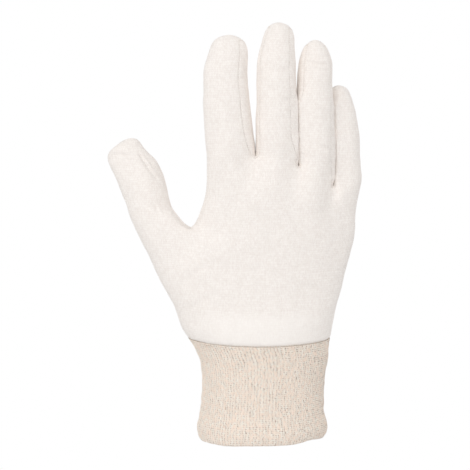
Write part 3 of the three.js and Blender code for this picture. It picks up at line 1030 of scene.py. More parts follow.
@dataclass(frozen=True)
class KnitPattern:
    """Loops of a knit, worked out from the distance between its wales (columns) and courses (rows), in mm.

    The slant is how far a loop's legs lean, in courses. The hole between loops shrinks and softens by the
    last two.
    """

    wale: float
    course: float
    slant: float
    hole_shrink: float = 1.2
    hole_edge: float = 0.5

    def draw(self, tree: bpy.types.NodeTree, across: Any, along: Any) -> tuple[Any, Any, Any]:
        """Adds the nodes that draw the loops.

        Args:
            tree: the node tree that gets them.
            across: the place across the wales, in mm.
            along: the place along the wales, in mm.

        Returns:
            The nodes of the height, from 0 to 1, of a random number for each leg of a loop, and of the hole
            between four loops, from 0 to 1.
        """
        wales = add_node(tree, Kind.MATH, {0: across, 1: self.wale}, operation="DIVIDE")
        in_wale = add_node(tree, Kind.MATH, {0: wales}, operation="FRACT")
        middle = add_node(tree, Kind.MATH, {0: in_wale, 1: 0.5}, operation="SUBTRACT")
        from_middle = add_node(tree, Kind.MATH, {0: middle}, operation="ABSOLUTE")
        swing = add_node(tree, Kind.MATH, {0: from_middle, 1: 2 * math.pi}, operation="MULTIPLY")
        legs = add_node(tree, Kind.MATH, {0: swing}, operation="SINE")
        courses = add_node(tree, Kind.MATH, {0: along, 1: self.course}, operation="DIVIDE")
        slanted = weighted(tree, [(courses, 1.0), (from_middle, 2 * self.slant)])
        in_course = add_node(tree, Kind.MATH, {0: slanted}, operation="FRACT")
        turn = add_node(tree, Kind.MATH, {0: in_course, 1: math.pi}, operation="MULTIPLY")
        arch = add_node(tree, Kind.MATH, {0: turn}, operation="SINE")
        rows = add_node(tree, Kind.MATH, {0: arch}, operation="ABSOLUTE")
        rounded = add_node(tree, Kind.MATH, {0: rows}, operation="SQRT")
        height = add_node(tree, Kind.MATH, {0: legs, 1: rounded}, operation="MULTIPLY")
        apart = weighted(tree, [(from_middle, 2.0), (rows, -self.hole_shrink)])
        hole = add_node(tree, Kind.RANGE, {"Value": apart, "From Min": 0.0, "From Max": self.hole_edge})
        half_wales = add_node(tree, Kind.MATH, {0: wales, 1: 2.0}, operation="MULTIPLY")
        leg_across = add_node(tree, Kind.MATH, {0: half_wales}, operation="FLOOR")
        leg_along = add_node(tree, Kind.MATH, {0: slanted}, operation="FLOOR")
        leg = add_node(tree, Kind.JOIN, {0: leg_across, 1: leg_along})
        chance = add_node(tree, Kind.CHANCE, {"Vector": leg}, noise_dimensions="2D")
        return height, chance, hole


# Cotton scatters light from fibres that lie every way: it has little gloss, and a haze at grazing angles
COTTON_GLOSS = 0.2
COTTON_HAZE_ROUGHNESS = 0.6
RELIEF_STRENGTH = 0.8


def finish_cloth(
    material: bpy.types.Material,
    tree: bpy.types.NodeTree,
    colour: Any,
    relief: Any,
    depth: float,
    roughness: float,
    sheen: float,
) -> bpy.types.Material:
    """Ends a cloth's tree with its relief and its shader.

    Args:
        material: the material.
        tree: its tree.
        colour: the socket of its colour.
        relief: the node of its relief.
        depth: the height of that relief in mm.
        roughness: how matt it is.
        sheen: how strong the haze of its fibres is.

    Returns:
        The material.
    """
    inputs = {"Height": relief, "Distance": depth * MM, "Strength": RELIEF_STRENGTH}
    bump = add_node(tree, Kind.BUMP, inputs)
    inputs = {
        "Base Color": colour,
        "Roughness": roughness,
        "Specular IOR Level": COTTON_GLOSS,
        "Sheen Weight": sheen,
        "Sheen Roughness": COTTON_HAZE_ROUGHNESS,
        "Normal": bump,
    }
    shader = add_node(tree, Kind.CLOTH, inputs)
    add_node(tree, Kind.OUTPUT, {"Surface": shader})
    return material


@dataclass(frozen=True)
class InterlockCotton:
    """Bleached cotton, knitted as interlock and lightly brushed.

    The eye sees a soft, matt, warm white with a faint grain of loops, short streaks along the courses where
    the yarn is thicker, a haze of short fibres at grazing angles, and painted shade in the hollows between
    the loops. Just above the hem, over its middle, a painted highlight makes the cloth look plainer and
    whiter.

    Lengths are in mm. A real interlock's loops are about 0.8 mm apart, too fine to show in the render, so
    they are drawn at 1.25 by 1.35 mm. The relief's shares are of loops, fibres, legs and streaks, and the
    tone's are the same with blotches: the loops' share paints shade into the hollows between them, and the
    rest is the yarn's own uneven tone.
    """

    colour: str = "#FFFAF5"
    # The darkest tone: painted shade in the hollows between loops, and the yarn's own darker tone at random
    hollow_shade_and_yarn_tone: str = "#DFD2CA"
    wale: float = 1.25
    course: float = 1.35
    slant: float = 0.55
    wander: float = 9.0
    sway: float = 2.4
    fibre: float = 0.35
    streak_length: float = 4.5
    streak_height: float = 1.2
    blotch: float = 6.0
    relief_shares: tuple[float, ...] = (0.6, 0.4, 0.2, 0.3)
    tone_shares: tuple[float, ...] = (0.3, 0.2, 0.22, 0.24, 0.05)
    tone_range: tuple[float, float] = (-0.2, 0.72)
    # The painted highlight just above the hem: full below the first height and gone above the second, full
    # within the first distance from the middle and gone beyond the second, in mm, then its strength
    highlight_low: float = 75.0
    highlight_high: float = 81.0
    highlight_near: float = 22.0
    highlight_far: float = 44.0
    highlight_share: float = 0.55
    loop_height: float = 0.2
    roughness: float = 0.92
    sheen: float = 0.12

    def _painted_hem_highlight(self, tree: bpy.types.NodeTree) -> Any:
        """Adds the nodes of the painted highlight just above the hem, over its middle.

        Args:
            tree: the node tree that gets them.

        Returns:
            The node of its strength, from 0 to 1.
        """
        where = add_node(tree, Kind.OBJECT_PLACE).outputs["Object"]
        right, _, up = add_node(tree, Kind.SPLIT, {0: where}).outputs
        aside = add_node(tree, Kind.MATH, {0: right}, operation="ABSOLUTE")
        inputs = {"Value": aside, "From Min": self.highlight_far * MM, "From Max": self.highlight_near * MM}
        near = add_node(tree, Kind.RANGE, inputs)
        inputs = {"Value": up, "From Min": self.highlight_high * MM, "From Max": self.highlight_low * MM}
        low = add_node(tree, Kind.RANGE, inputs)
        return add_node(tree, Kind.MATH, {0: low, 1: near}, operation="MULTIPLY")

    def material(self) -> bpy.types.Material:
        """Builds the material.

        Returns:
            The material.
        """
        material, tree = new_material("interlock_cotton_bleached")
        white = linear_from_hex(self.colour)
        place = add_node(tree, Kind.KNIT_PLACE, uv_map="knit")
        axes = add_node(tree, Kind.SPLIT, {0: place}).outputs
        shift = add_node(tree, Kind.NOISE, {"Vector": place, "Scale": 1 / self.wander, "Detail": 2.0})
        across, along = (weighted(tree, [(axes[i], 1.0), (shift, self.sway)]) for i in (0, 1))
        loops, chance, _ = KnitPattern(self.wale, self.course, self.slant).draw(tree, across, along)
        squeeze = self.streak_length / self.streak_height
        squeezed = add_node(tree, Kind.MATH, {0: across, 1: squeeze}, operation="DIVIDE")
        stretched = add_node(tree, Kind.JOIN, {0: squeezed, 1: along})
        streaks, fibres, blotches = (
            add_node(tree, Kind.NOISE, {"Vector": at, "Scale": 1 / size, "Detail": detail})
            for at, size, detail in (
                (stretched, self.streak_height, 2.0),
                (place, self.fibre, 3.0),
                (place, self.blotch, 3.0),
            )
        )
        relief = weighted(tree, zip((loops, fibres, chance, streaks), self.relief_shares))
        # The tone mixes painted shade in the hollows between loops with the yarn's own uneven tone
        tone = weighted(tree, zip((loops, fibres, chance, streaks, blotches), self.tone_shares))
        low, high = self.tone_range
        lit = add_node(tree, Kind.RANGE, {"Value": tone, "From Min": low, "From Max": high})
        inputs = {"Factor": lit, "A": linear_from_hex(self.hollow_shade_and_yarn_tone), "B": white}
        plain = add_node(tree, Kind.MIX, inputs, data_type="RGBA").outputs["Result"]
        # Painted highlight: the cloth just above the hem, over its middle, is mixed towards plain white
        inputs = {0: self._painted_hem_highlight(tree), 1: self.highlight_share}
        hem_highlight = add_node(tree, Kind.MATH, inputs, operation="MULTIPLY")
        inputs = {"Factor": hem_highlight, "A": plain, "B": white}
        colour = add_node(tree, Kind.MIX, inputs, data_type="RGBA").outputs["Result"]
        return finish_cloth(material, tree, colour, relief, self.loop_height, self.roughness, self.sheen)


@dataclass(frozen=True)
class RibKnitCotton:
    """Unbleached cotton yarn, knitted as a one-and-one rib.

    The eye sees cream ribs of small uneven loops with painted shade between them, dark specks of painted
    shade where the loops leave holes between them, and yarn that is thicker in some places than in others.

    Lengths are in mm. The shares of relief and tone are of loops, yarn and legs.
    """

    colour: str = "#FFF9EE"
    # The lowest tone: painted shade in the grooves between loops, and the yarn's own darker tone at random
    groove: str = "#FFE8D6"
    # Painted shade seen through the holes between loops
    hole: str = "#7E4A2C"
    rib: float = 1.5
    course: float = 1.2
    slant: float = 0.5
    yarn: float = 0.9
    wander: float = 2.6
    sway: float = 1.9
    relief_shares: tuple[float, ...] = (1.0, 0.4, 0.3)
    tone_shares: tuple[float, ...] = (0.3, 0.3, 0.8)
    tone_range: tuple[float, float] = (0.1, 1.1)
    widest_hole: float = 0.8
    loop_height: float = 0.25
    roughness: float = 0.95
    sheen: float = 0.1

    def material(self) -> bpy.types.Material:
        """Builds the material.

        Returns:
            The material.
        """
        material, tree = new_material("rib_knit_cotton_unbleached")
        place = add_node(tree, Kind.KNIT_PLACE, uv_map="knit")
        axes = add_node(tree, Kind.SPLIT, {0: place}).outputs
        yarn = add_node(tree, Kind.NOISE, {"Vector": place, "Scale": 1 / self.yarn, "Detail": 3.0})
        shift = add_node(tree, Kind.NOISE, {"Vector": place, "Scale": 1 / self.wander, "Detail": 2.0})
        across = weighted(tree, [(axes[0], 1.0), (shift, self.sway)])
        along = weighted(tree, [(axes[1], 1.0), (yarn, self.sway)])
        loops, chance, holes = KnitPattern(self.rib, self.course, self.slant).draw(tree, across, along)
        # The tone's loop share paints shade between the loops; yarn and legs give the yarn's own uneven tone
        relief, tone = (
            weighted(tree, zip((loops, yarn, chance), shares))
            for shares in (self.relief_shares, self.tone_shares)
        )
        low, high = self.tone_range
        lit = add_node(tree, Kind.RANGE, {"Value": tone, "From Min": low, "From Max": high})
        inputs = {"Factor": lit, "A": linear_from_hex(self.groove), "B": linear_from_hex(self.colour)}
        plain = add_node(tree, Kind.MIX, inputs, data_type="RGBA").outputs["Result"]
        # Dark specks of painted shade where a hole between loops opens, wider at random
        inputs = {"Value": chance, "From Min": 0.0, "From Max": self.widest_hole}
        openness = add_node(tree, Kind.RANGE, inputs)
        painted_hole_shade = add_node(tree, Kind.MATH, {0: holes, 1: openness}, operation="MULTIPLY")
        inputs = {"Factor": painted_hole_shade, "A": plain, "B": linear_from_hex(self.hole)}
        colour = add_node(tree, Kind.MIX, inputs, data_type="RGBA").outputs["Result"]
        return finish_cloth(material, tree, colour, relief, self.loop_height, self.roughness, self.sheen)


@dataclass(frozen=True)
class SewingThread:
    """Twisted cotton sewing thread. The eye sees fine slanted plies and hardly any shine."""

    name: str
    colour: str
    shade: str
    ply: float = 0.45
    ply_height: float = 0.05
    roughness: float = 0.85
    sheen: float = 0.05

    def material(self) -> bpy.types.Material:
        """Builds the material.

        Returns:
            The material.
        """
        material, tree = new_material(self.name)
        place = add_node(tree, Kind.KNIT_PLACE, uv_map="knit")
        axes = add_node(tree, Kind.SPLIT, {0: place}).outputs
        slanted = weighted(tree, [(axes[i], 2 * math.pi / self.ply) for i in (0, 1)])
        wave = add_node(tree, Kind.MATH, {0: slanted}, operation="SINE")
        plies = add_node(tree, Kind.RANGE, {"Value": wave, "From Min": -1.0, "From Max": 1.0})
        inputs = {"Factor": plies, "A": linear_from_hex(self.shade), "B": linear_from_hex(self.colour)}
        colour = add_node(tree, Kind.MIX, inputs, data_type="RGBA").outputs["Result"]
        return finish_cloth(material, tree, colour, plies, self.ply_height, self.roughness, self.sheen)


@dataclass(frozen=True)
class StudioWhite:
    """A white paper sweep, lit until it is plain white. The eye sees no floor line and no shadow."""

    colour: str = "#FFFFFF"
    brightness: float = 1.0

    def material(self) -> bpy.types.Material:
        """Builds the material.

        Returns:
            The material.
        """
        material, tree = new_material("studio_paper_white")
        inputs = {"Color": linear_from_hex(self.colour), "Strength": self.brightness}
        glow = add_node(tree, Kind.GLOW, inputs)
        add_node(tree, Kind.OUTPUT, {"Surface": glow})
        return material


def make_piece(
    name: str,
    points: np.ndarray,
    polygons: Sequence[np.ndarray],
    knit_places: np.ndarray,
    material: bpy.types.Material,
) -> bpy.types.Object:
    """Makes a smooth mesh object with its knit's own coordinates.

    Args:
        name: the piece's name.
        points: its points, in mm.
        polygons: arrays of faces, each with its own number of corners.
        knit_places: where each point lies on the flat cloth, in mm, across and along the wales.
        material: its finish.

    Returns:
        The object.
    """
    mesh = bpy.data.meshes.new(name)
    corners = np.concatenate([p.ravel() for p in polygons]).astype(np.int32)
    sizes = np.concatenate([np.full(len(p), p.shape[1]) for p in polygons])
    starts = np.concatenate([[0], np.cumsum(sizes)[:-1]]).astype(np.int32)
    mesh.vertices.add(len(points))
    mesh.vertices.foreach_set("co", (points * MM).astype(np.float32).ravel())
    mesh.loops.add(len(corners))
    mesh.loops.foreach_set("vertex_index", corners)
    mesh.polygons.add(len(starts))
    mesh.polygons.foreach_set("loop_start", starts)
    mesh.polygons.foreach_set("use_smooth", np.ones(len(starts), bool))
    mesh.update(calc_edges=True)
    layer = mesh.uv_layers.new(name="knit")
    layer.data.foreach_set("uv", knit_places[corners].astype(np.float32).ravel())
    mesh.materials.append(material)
    mesh.validate()
    piece = bpy.data.objects.new(name, mesh)
    bpy.context.scene.collection.objects.link(piece)
    return piece


@dataclass(frozen=True)
class Stations:
    """Places along a seam: points in mm, the seam's own direction there, and the way out of the cloth."""

    points: np.ndarray
    along: np.ndarray
    out: np.ndarray


@dataclass
class Stitches:
    """A row of short stitches that each cross a seam.

    Each stitch is a piece of thread through places given by how far along the seam, across it and out of the
    cloth they lie, in mm.
    """

    name: str
    slot: Slot
    route: tuple[tuple[float, float, float], ...]
    radius: float
    sides: int = 5
    end_taper: float = 0.6

    def build(self, stations: Stations, material: bpy.types.Material) -> bpy.types.Object:
        """Makes the row of stitches.

        Args:
            stations: where each stitch lies.
            material: the thread.

        Returns:
            The object.
        """
        across = unit(np.cross(stations.out, stations.along))
        axes = np.stack([stations.along, across, stations.out], axis=1)
        paths = stations.points[:, None] + np.einsum("mk,nkx->nmx", np.array(self.route), axes)
        runs = unit(np.gradient(paths, axis=1))
        aside = unit(np.cross(runs, stations.along[:, None]))
        above = np.cross(aside, runs)
        count, steps = paths.shape[:2]
        thickness = np.full(steps, self.radius)
        thickness[[0, -1]] *= self.end_taper
        turn = 2 * math.pi * np.arange(self.sides) / self.sides
        ring = np.cos(turn)[:, None] * aside[:, :, None] + np.sin(turn)[:, None] * above[:, :, None]
        points = paths[:, :, None] + ring * thickness[:, None, None]
        grid = np.arange(count * steps * self.sides).reshape(count, steps, self.sides)
        low, high = grid[:, :-1], grid[:, 1:]
        quads = np.stack([low, np.roll(low, -1, axis=2), np.roll(high, -1, axis=2), high], axis=-1)
        caps = np.concatenate([grid[:, 0, ::-1], grid[:, -1]])
        step_lengths = np.linalg.norm(np.diff(paths, axis=1), axis=2)
        lengths = np.concatenate([np.zeros((count, 1)), step_lengths], axis=1)
        run = np.repeat(lengths.cumsum(axis=1)[:, :, None], self.sides, axis=2)
        round_it = np.broadcast_to(turn * self.radius, run.shape)
        places = np.stack([run.ravel(), round_it.ravel()], axis=1)
        piece = make_piece(self.name, points.reshape(-1, 3), [quads.reshape(-1, 4), caps], places, material)
        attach(piece, "root")
        LOG.info("%s: %d stitches", self.name, count)
        return piece


@dataclass
class GloveBody:
    """The sewn body: each panel a shell of cloth with turned seams, hem and wrinkles.

    Lengths are in mm. Cloth that is nearer to a touching limb than press_reach moves towards it, and from
    press_full on by press_share of the way. What faces it more moves more, by press_facing and press_bias. A
    crease has a bank of cloth beside it, and wavers along its length. Cloth is smoothed out to relax_edge
    times a soft place's reach.
    """

    form: GloveForm
    wall: float = 1.2
    fine_rounds: int = 3
    finger_radius: float = 11.5
    seam_gap: float = 0.04
    sharpest_corner: float = 0.05
    seam_depth: float = 0.04
    seam_width: float = 0.6
    seam_swell: float = 0.02
    swell_away: float = 1.6
    swell_width: float = 0.9
    pinch: float = 0.35
    pinch_size: float = 3.0
    unevenness: float = 0.15
    broad_size: float = 17.0
    small_size: float = 7.0
    small_share: float = 0.4
    hem_turn: float = 2.6
    hem_inward: float = 1.3
    hem_lap: float = 0.45
    press_full: float = 6.5
    press_reach: float = 13.5
    press_fade: float = 8.0
    press_share: float = 0.58
    press_facing: float = 2.4
    press_bias: float = 0.15
    press_swell: float = 1.8
    relax_share: float = 0.9
    relax_edge: float = 1.4
    relax_margin: float = 0.1
    crease_bank: float = 0.55
    crease_bank_away: float = 1.9
    crease_waver: float = 0.5
    crease_waver_turn: float = 2.2
    back_edge: float = 0.5

    def _surfaces(self) -> tuple[QuadMesh, QuadMesh]:
        """Subdivides the cage.

        Returns:
            The last two rounds, both on the smooth surface.
        """
        coarse = self.form.cage().through()
        for _ in range(self.fine_rounds):
            coarse = coarse.subdivided()
        fine = coarse.subdivided()
        places = fine.limit()
        fine = QuadMesh(places, fine.faces, fine.panels, fine.limbs)
        return QuadMesh(places[: len(coarse.points)], coarse.faces, coarse.panels, coarse.limbs), fine

    def _pressed(self, mesh: QuadMesh, normals: np.ndarray) -> np.ndarray:
        """Works out how fingers that lie against each other press flat, until their cloth meets half way.

        Args:
            mesh: the whole body.
            normals: its normals.

        Returns:
            One move for each point.
        """
        moves = np.zeros_like(mesh.points)
        for touch in TOUCHES:
            for this, other in ((touch.one, touch.two), (touch.two, touch.one)):
                own = np.unique(mesh.faces[mesh.limbs == this.value])
                tree = tree_of(mesh.points, np.unique(mesh.faces[mesh.limbs == other.value]))
                gap = np.array([tree.find(p)[0] for p in mesh.points[own]]) - mesh.points[own]
                distance = np.linalg.norm(gap, axis=1)
                faced = (unit(gap) * normals[own]).sum(axis=1) * self.press_facing + self.press_bias
                near = np.clip((self.press_reach - distance) / (self.press_reach - self.press_full), 0, 1)
                below = np.clip((touch.top - mesh.points[own, 2]) / self.press_fade, 0, 1)
                share = eased(near) * np.clip(faced, 0, 1) * eased(below)
                moves[own] += self.press_share * share[:, None] * gap
                moves[own, 1] += self.press_swell * share * normals[own, 1]
        return moves

    def _push(self, mesh: QuadMesh) -> None:
        """Moves the cloth aside where it is pressed, seen from the front.

        Args:
            mesh: the whole body, which is changed.
        """
        for press in PRESSES:
            away = np.hypot(mesh.points[:, 0] - press.x, mesh.points[:, 2] - press.z) / press.reach
            share = np.exp(-(away**2))
            if press.limb is not None:
                held = np.ones(len(share), dtype=bool)
                held[mesh.faces[mesh.limbs == press.limb.value]] = False
                share[held] = 0
            mesh.points = mesh.points + share[:, None] * np.array([press.aside, 0, press.up])

    def _relax(self, mesh: QuadMesh) -> None:
        """Smooths the cloth round the crotches between the fingers, so that it lies in soft bends.

        Args:
            mesh: the whole body, which is changed.
        """
        pairs, _, _ = mesh.edges()
        for place in SOFT_PLACES:
            away = np.hypot(mesh.points[:, 0] - place.x, mesh.points[:, 2] - place.z) / place.reach
            near = np.flatnonzero((away[pairs] < self.relax_edge + self.relax_margin).all(axis=1))
            one, two = pairs[near].T
            count = np.maximum(np.bincount(pairs[near].ravel(), minlength=len(mesh.points)), 1)[:, None]
            share = self.relax_share * np.exp(-(away**4))[:, None]
            for _ in range(place.rounds):
                total = np.zeros_like(mesh.points)
                np.add.at(total, one, mesh.points[two])
                np.add.at(total, two, mesh.points[one])
                inside = (away < self.relax_edge)[:, None]
                mesh.points = mesh.points + share * (total / count - mesh.points) * inside

    def _creases(self, mesh: QuadMesh, normals: np.ndarray) -> np.ndarray:
        """Works out the depth of the creases at each point of the back.

        Args:
            mesh: the whole body.
            normals: its normals.

        Returns:
            How far each point stands out, in mm.
        """
        total = np.zeros(len(mesh.points))
        on_back = np.clip(-normals[:, 1] / self.back_edge, 0, 1)
        for crease in CREASES:
            slope = math.radians(crease.slope)
            right, up = mesh.points[:, 0] - crease.x, mesh.points[:, 2] - crease.z
            along = (right * math.cos(slope) + up * math.sin(slope)) / (crease.length / 2)
            across = (up * math.cos(slope) - right * math.sin(slope)) / crease.width
            across = across + self.crease_waver * np.sin(along * self.crease_waver_turn + crease.x)
            bank = self.crease_bank * np.exp(-((across - self.crease_bank_away) ** 2))
            shape = np.exp(-(across**2)) - bank
            total -= crease.depth * shape * np.exp(-(along**4)) * on_back
        return total

    def _seam_distance(self, mesh: QuadMesh) -> np.ndarray:
        """Measures how far each point is from the nearest seam between two panels.

        Args:
            mesh: the whole body.

        Returns:
            The distances, in mm.
        """
        lowest, highest = span(mesh.faces.ravel(), np.repeat(mesh.panels, 4), len(mesh.points))
        tree = tree_of(mesh.points, np.flatnonzero(lowest != highest))
        return np.array([tree.find(p)[2] for p in mesh.points])

    def _relief(self, mesh: QuadMesh, normals: np.ndarray) -> np.ndarray:
        """Works out how far each point of the cloth stands in or out of the smooth form.

        Args:
            mesh: the whole body.
            normals: its normals.

        Returns:
            The distances outwards, in mm.
        """
        distance = self._seam_distance(mesh)
        pinch = 1 + self.pinch * soft_noise(mesh.points, self.pinch_size, Relief.PINCH)
        valley = -self.seam_depth * np.exp(-((distance / self.seam_width) ** 2)) * pinch
        swell = self.seam_swell * np.exp(-(((distance - self.swell_away) / self.swell_width) ** 2))
        broad = soft_noise(mesh.points, self.broad_size, Relief.BROAD)
        small = soft_noise(mesh.points, self.small_size, Relief.SMALL)
        uneven = self.unevenness * (broad + self.small_share * small)
        return valley + swell + uneven + self._creases(mesh, normals)

    def _knit_places(self, panel: Panel, mesh: QuadMesh, normals: np.ndarray) -> np.ndarray:
        """Unrolls a panel to its flat cloth, where a side that curves away lies further out than it looks.

        Args:
            panel: the panel.
            mesh: the whole body.
            normals: its normals.

        Returns:
            For each point of the body, its place across and along the wales, in mm.
        """
        x, y, z = mesh.points.T
        if panel in FOURCHETTES:
            return np.stack([y, z], axis=1)
        facing = -normals[:, 1] if panel is Panel.BACK else normals[:, 1]
        turned = np.arctan2(normals[:, 0], facing)
        tipped = np.arcsin(np.clip(normals[:, 2], -1, 1))
        across = x + self.finger_radius * (turned - np.sin(turned))
        along = z + self.finger_radius * (tipped - np.sin(tipped))
        return np.stack([across, along], axis=1)

    def _setbacks(self, border: np.ndarray, mesh: QuadMesh, normals: np.ndarray) -> np.ndarray:
        """Works out how a panel's border moves into the panel, so that two panels don't share a line.

        Args:
            border: the directed edges of the border.
            mesh: the whole body.
            normals: its normals.

        Returns:
            One move for each point of the body, zero away from the border.
        """
        run = mesh.points[border[:, 1]] - mesh.points[border[:, 0]]
        total, count = np.zeros_like(mesh.points), np.zeros((len(mesh.points), 1))
        for end in (0, 1):
            inward = unit(np.cross(normals[border[:, end]], run))
            np.add.at(total, border[:, end], inward)
            np.add.at(count, border[:, end], 1)
        mean = total / np.maximum(count, 1)
        length = np.maximum((mean**2).sum(axis=1, keepdims=True), self.sharpest_corner)
        return mean * (self.seam_gap / 2) / length

    def _find_stations(
        self, coarse: QuadMesh, fine: QuadMesh, normals: np.ndarray
    ) -> tuple[Stations, Stations]:
        """Finds where stitches cross the seams between panels and the hem: one at each edge of a mesh.

        Args:
            coarse: the round of subdivision before the last.
            fine: the last round, with the cloth's relief.
            normals: the normals of the fine mesh.

        Returns:
            The places along the seams, and those along the hem.
        """
        pairs, of_side, count = coarse.edges()
        lowest, highest = span(of_side.ravel(), np.repeat(coarse.panels, 4), len(pairs))

        def stations(chosen: np.ndarray, level: float) -> Stations:
            """Gives the places at the middles of some edges.

            Args:
                chosen: the numbers of the edges.
                level: 1 to keep the normals as they are, or 0 to make them level.

            Returns:
                The places.
            """
            ends = fine.points[pairs[chosen]]
            middles = len(coarse.points) + chosen
            out = unit(normals[middles] * np.array([1, 1, level]))
            return Stations(fine.points[middles], unit(ends[:, 1] - ends[:, 0]), out)

        rim = stations(np.flatnonzero(count == 1), 0)
        turned = np.stack([-rim.out[:, 1], rim.out[:, 0], np.zeros(len(rim.out))], axis=1)
        seams = stations(np.flatnonzero(lowest != highest), 1)
        return seams, Stations(rim.points, turned, rim.out)

    def _border(self, faces: np.ndarray) -> np.ndarray:
        """Finds the directed edges of some faces that no neighbour among them shares.

        Args:
            faces: the faces.

        Returns:
            The edges, each as the point where it starts and the one where it ends.
        """
        sides = np.stack([faces, np.roll(faces, -1, axis=1)], axis=-1).reshape(-1, 2)
        keys = {(int(a), int(b)) for a, b in sides}
        return np.array([(a, b) for a, b in sides if (int(b), int(a)) not in keys])

    def _panel(
        self,
        panel: Panel,
        coarse: QuadMesh,
        fine: QuadMesh,
        normals: np.ndarray,
        material: bpy.types.Material,
    ) -> bpy.types.Object:
        """Makes one panel as a closed shell: fine outside, coarser inside.

        Args:
            panel: the panel.
            coarse: the round of subdivision before the last.
            fine: the last round, with the cloth's relief.
            normals: the normals of the fine mesh.
            material: the cloth.

        Returns:
            The panel's object.
        """
        number = PANELS.index(panel)
        outer, inner = fine.faces[fine.panels == number], coarse.faces[coarse.panels == number]
        moved = fine.points + self._setbacks(self._border(outer), fine, normals)
        pairs, of_side, _ = coarse.edges()
        middle_of = {tuple(pair): len(coarse.points) + i for i, pair in enumerate(pairs.tolist())}
        rim = self._border(inner)
        middles = np.array([middle_of[(min(a, b), max(a, b))] for a, b in rim.tolist()])
        used_out, used_in = np.unique(outer), np.unique(inner)
        to_out = np.full(len(fine.points), -1)
        to_out[used_out] = np.arange(len(used_out))
        to_in = np.full(len(fine.points), -1)
        to_in[used_in] = len(used_out) + np.arange(len(used_in))
        points = np.concatenate([moved[used_out], moved[used_in] - self.wall * normals[used_in]])
        start, end = rim.T
        edge = np.stack([to_out[end], to_out[middles], to_out[start], to_in[start], to_in[end]], axis=1)
        places = self._knit_places(panel, fine, normals)
        knit = np.concatenate([places[used_out], places[used_in]])
        return make_piece(panel.value, points, [to_out[outer], to_in[inner][:, ::-1], edge], knit, material)

    def _turn_hem(self, mesh: QuadMesh, normals: np.ndarray) -> None:
        """Turns the hem inwards, laps it over the knit wrist and lets it rise to the sides.

        Args:
            mesh: the whole body, which is changed.
            normals: its normals.
        """
        hem = np.clip(1 - (mesh.points[:, 2] - self.form.hem_height) / self.hem_turn, 0, 1)
        level = unit(normals * np.array([1, 1, 0]))
        mesh.points = mesh.points - self.hem_inward * hem[:, None] ** 2 * level
        above = mesh.points[:, 2] - self.form.hem_height
        mesh.points[:, 2] -= self.hem_lap * np.clip(1 - above / self.hem_turn, 0, 1)
        mesh.points[:, 2] += hem_rise(mesh.points[:, 0]) * np.clip(1 - above / HEM_RISE_REACH, 0, 1) ** 2

    def build(self, material: bpy.types.Material) -> tuple[Stations, Stations]:
        """Makes the panels and puts each in place of its node.

        Args:
            material: the cloth.

        Returns:
            Where stitches cross the seams, and where they cross the hem.
        """
        coarse, fine = self._surfaces()
        self._push(fine)
        fine.points = fine.points + self._pressed(fine, fine.normals())
        self._relax(fine)
        normals = fine.normals()
        fine.points = fine.points + self._relief(fine, normals)[:, None] * normals
        self._turn_hem(fine, normals)
        normals = fine.normals()
        for panel in PANELS:
            piece = self._panel(panel, coarse, fine, normals, material)
            piece.name = f"cloth_{panel.value}"
            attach(piece, "root")
            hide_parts(panel.value)
            LOG.info("%s: %d faces", piece.name, len(piece.data.polygons))
        return self._find_stations(coarse, fine, normals)


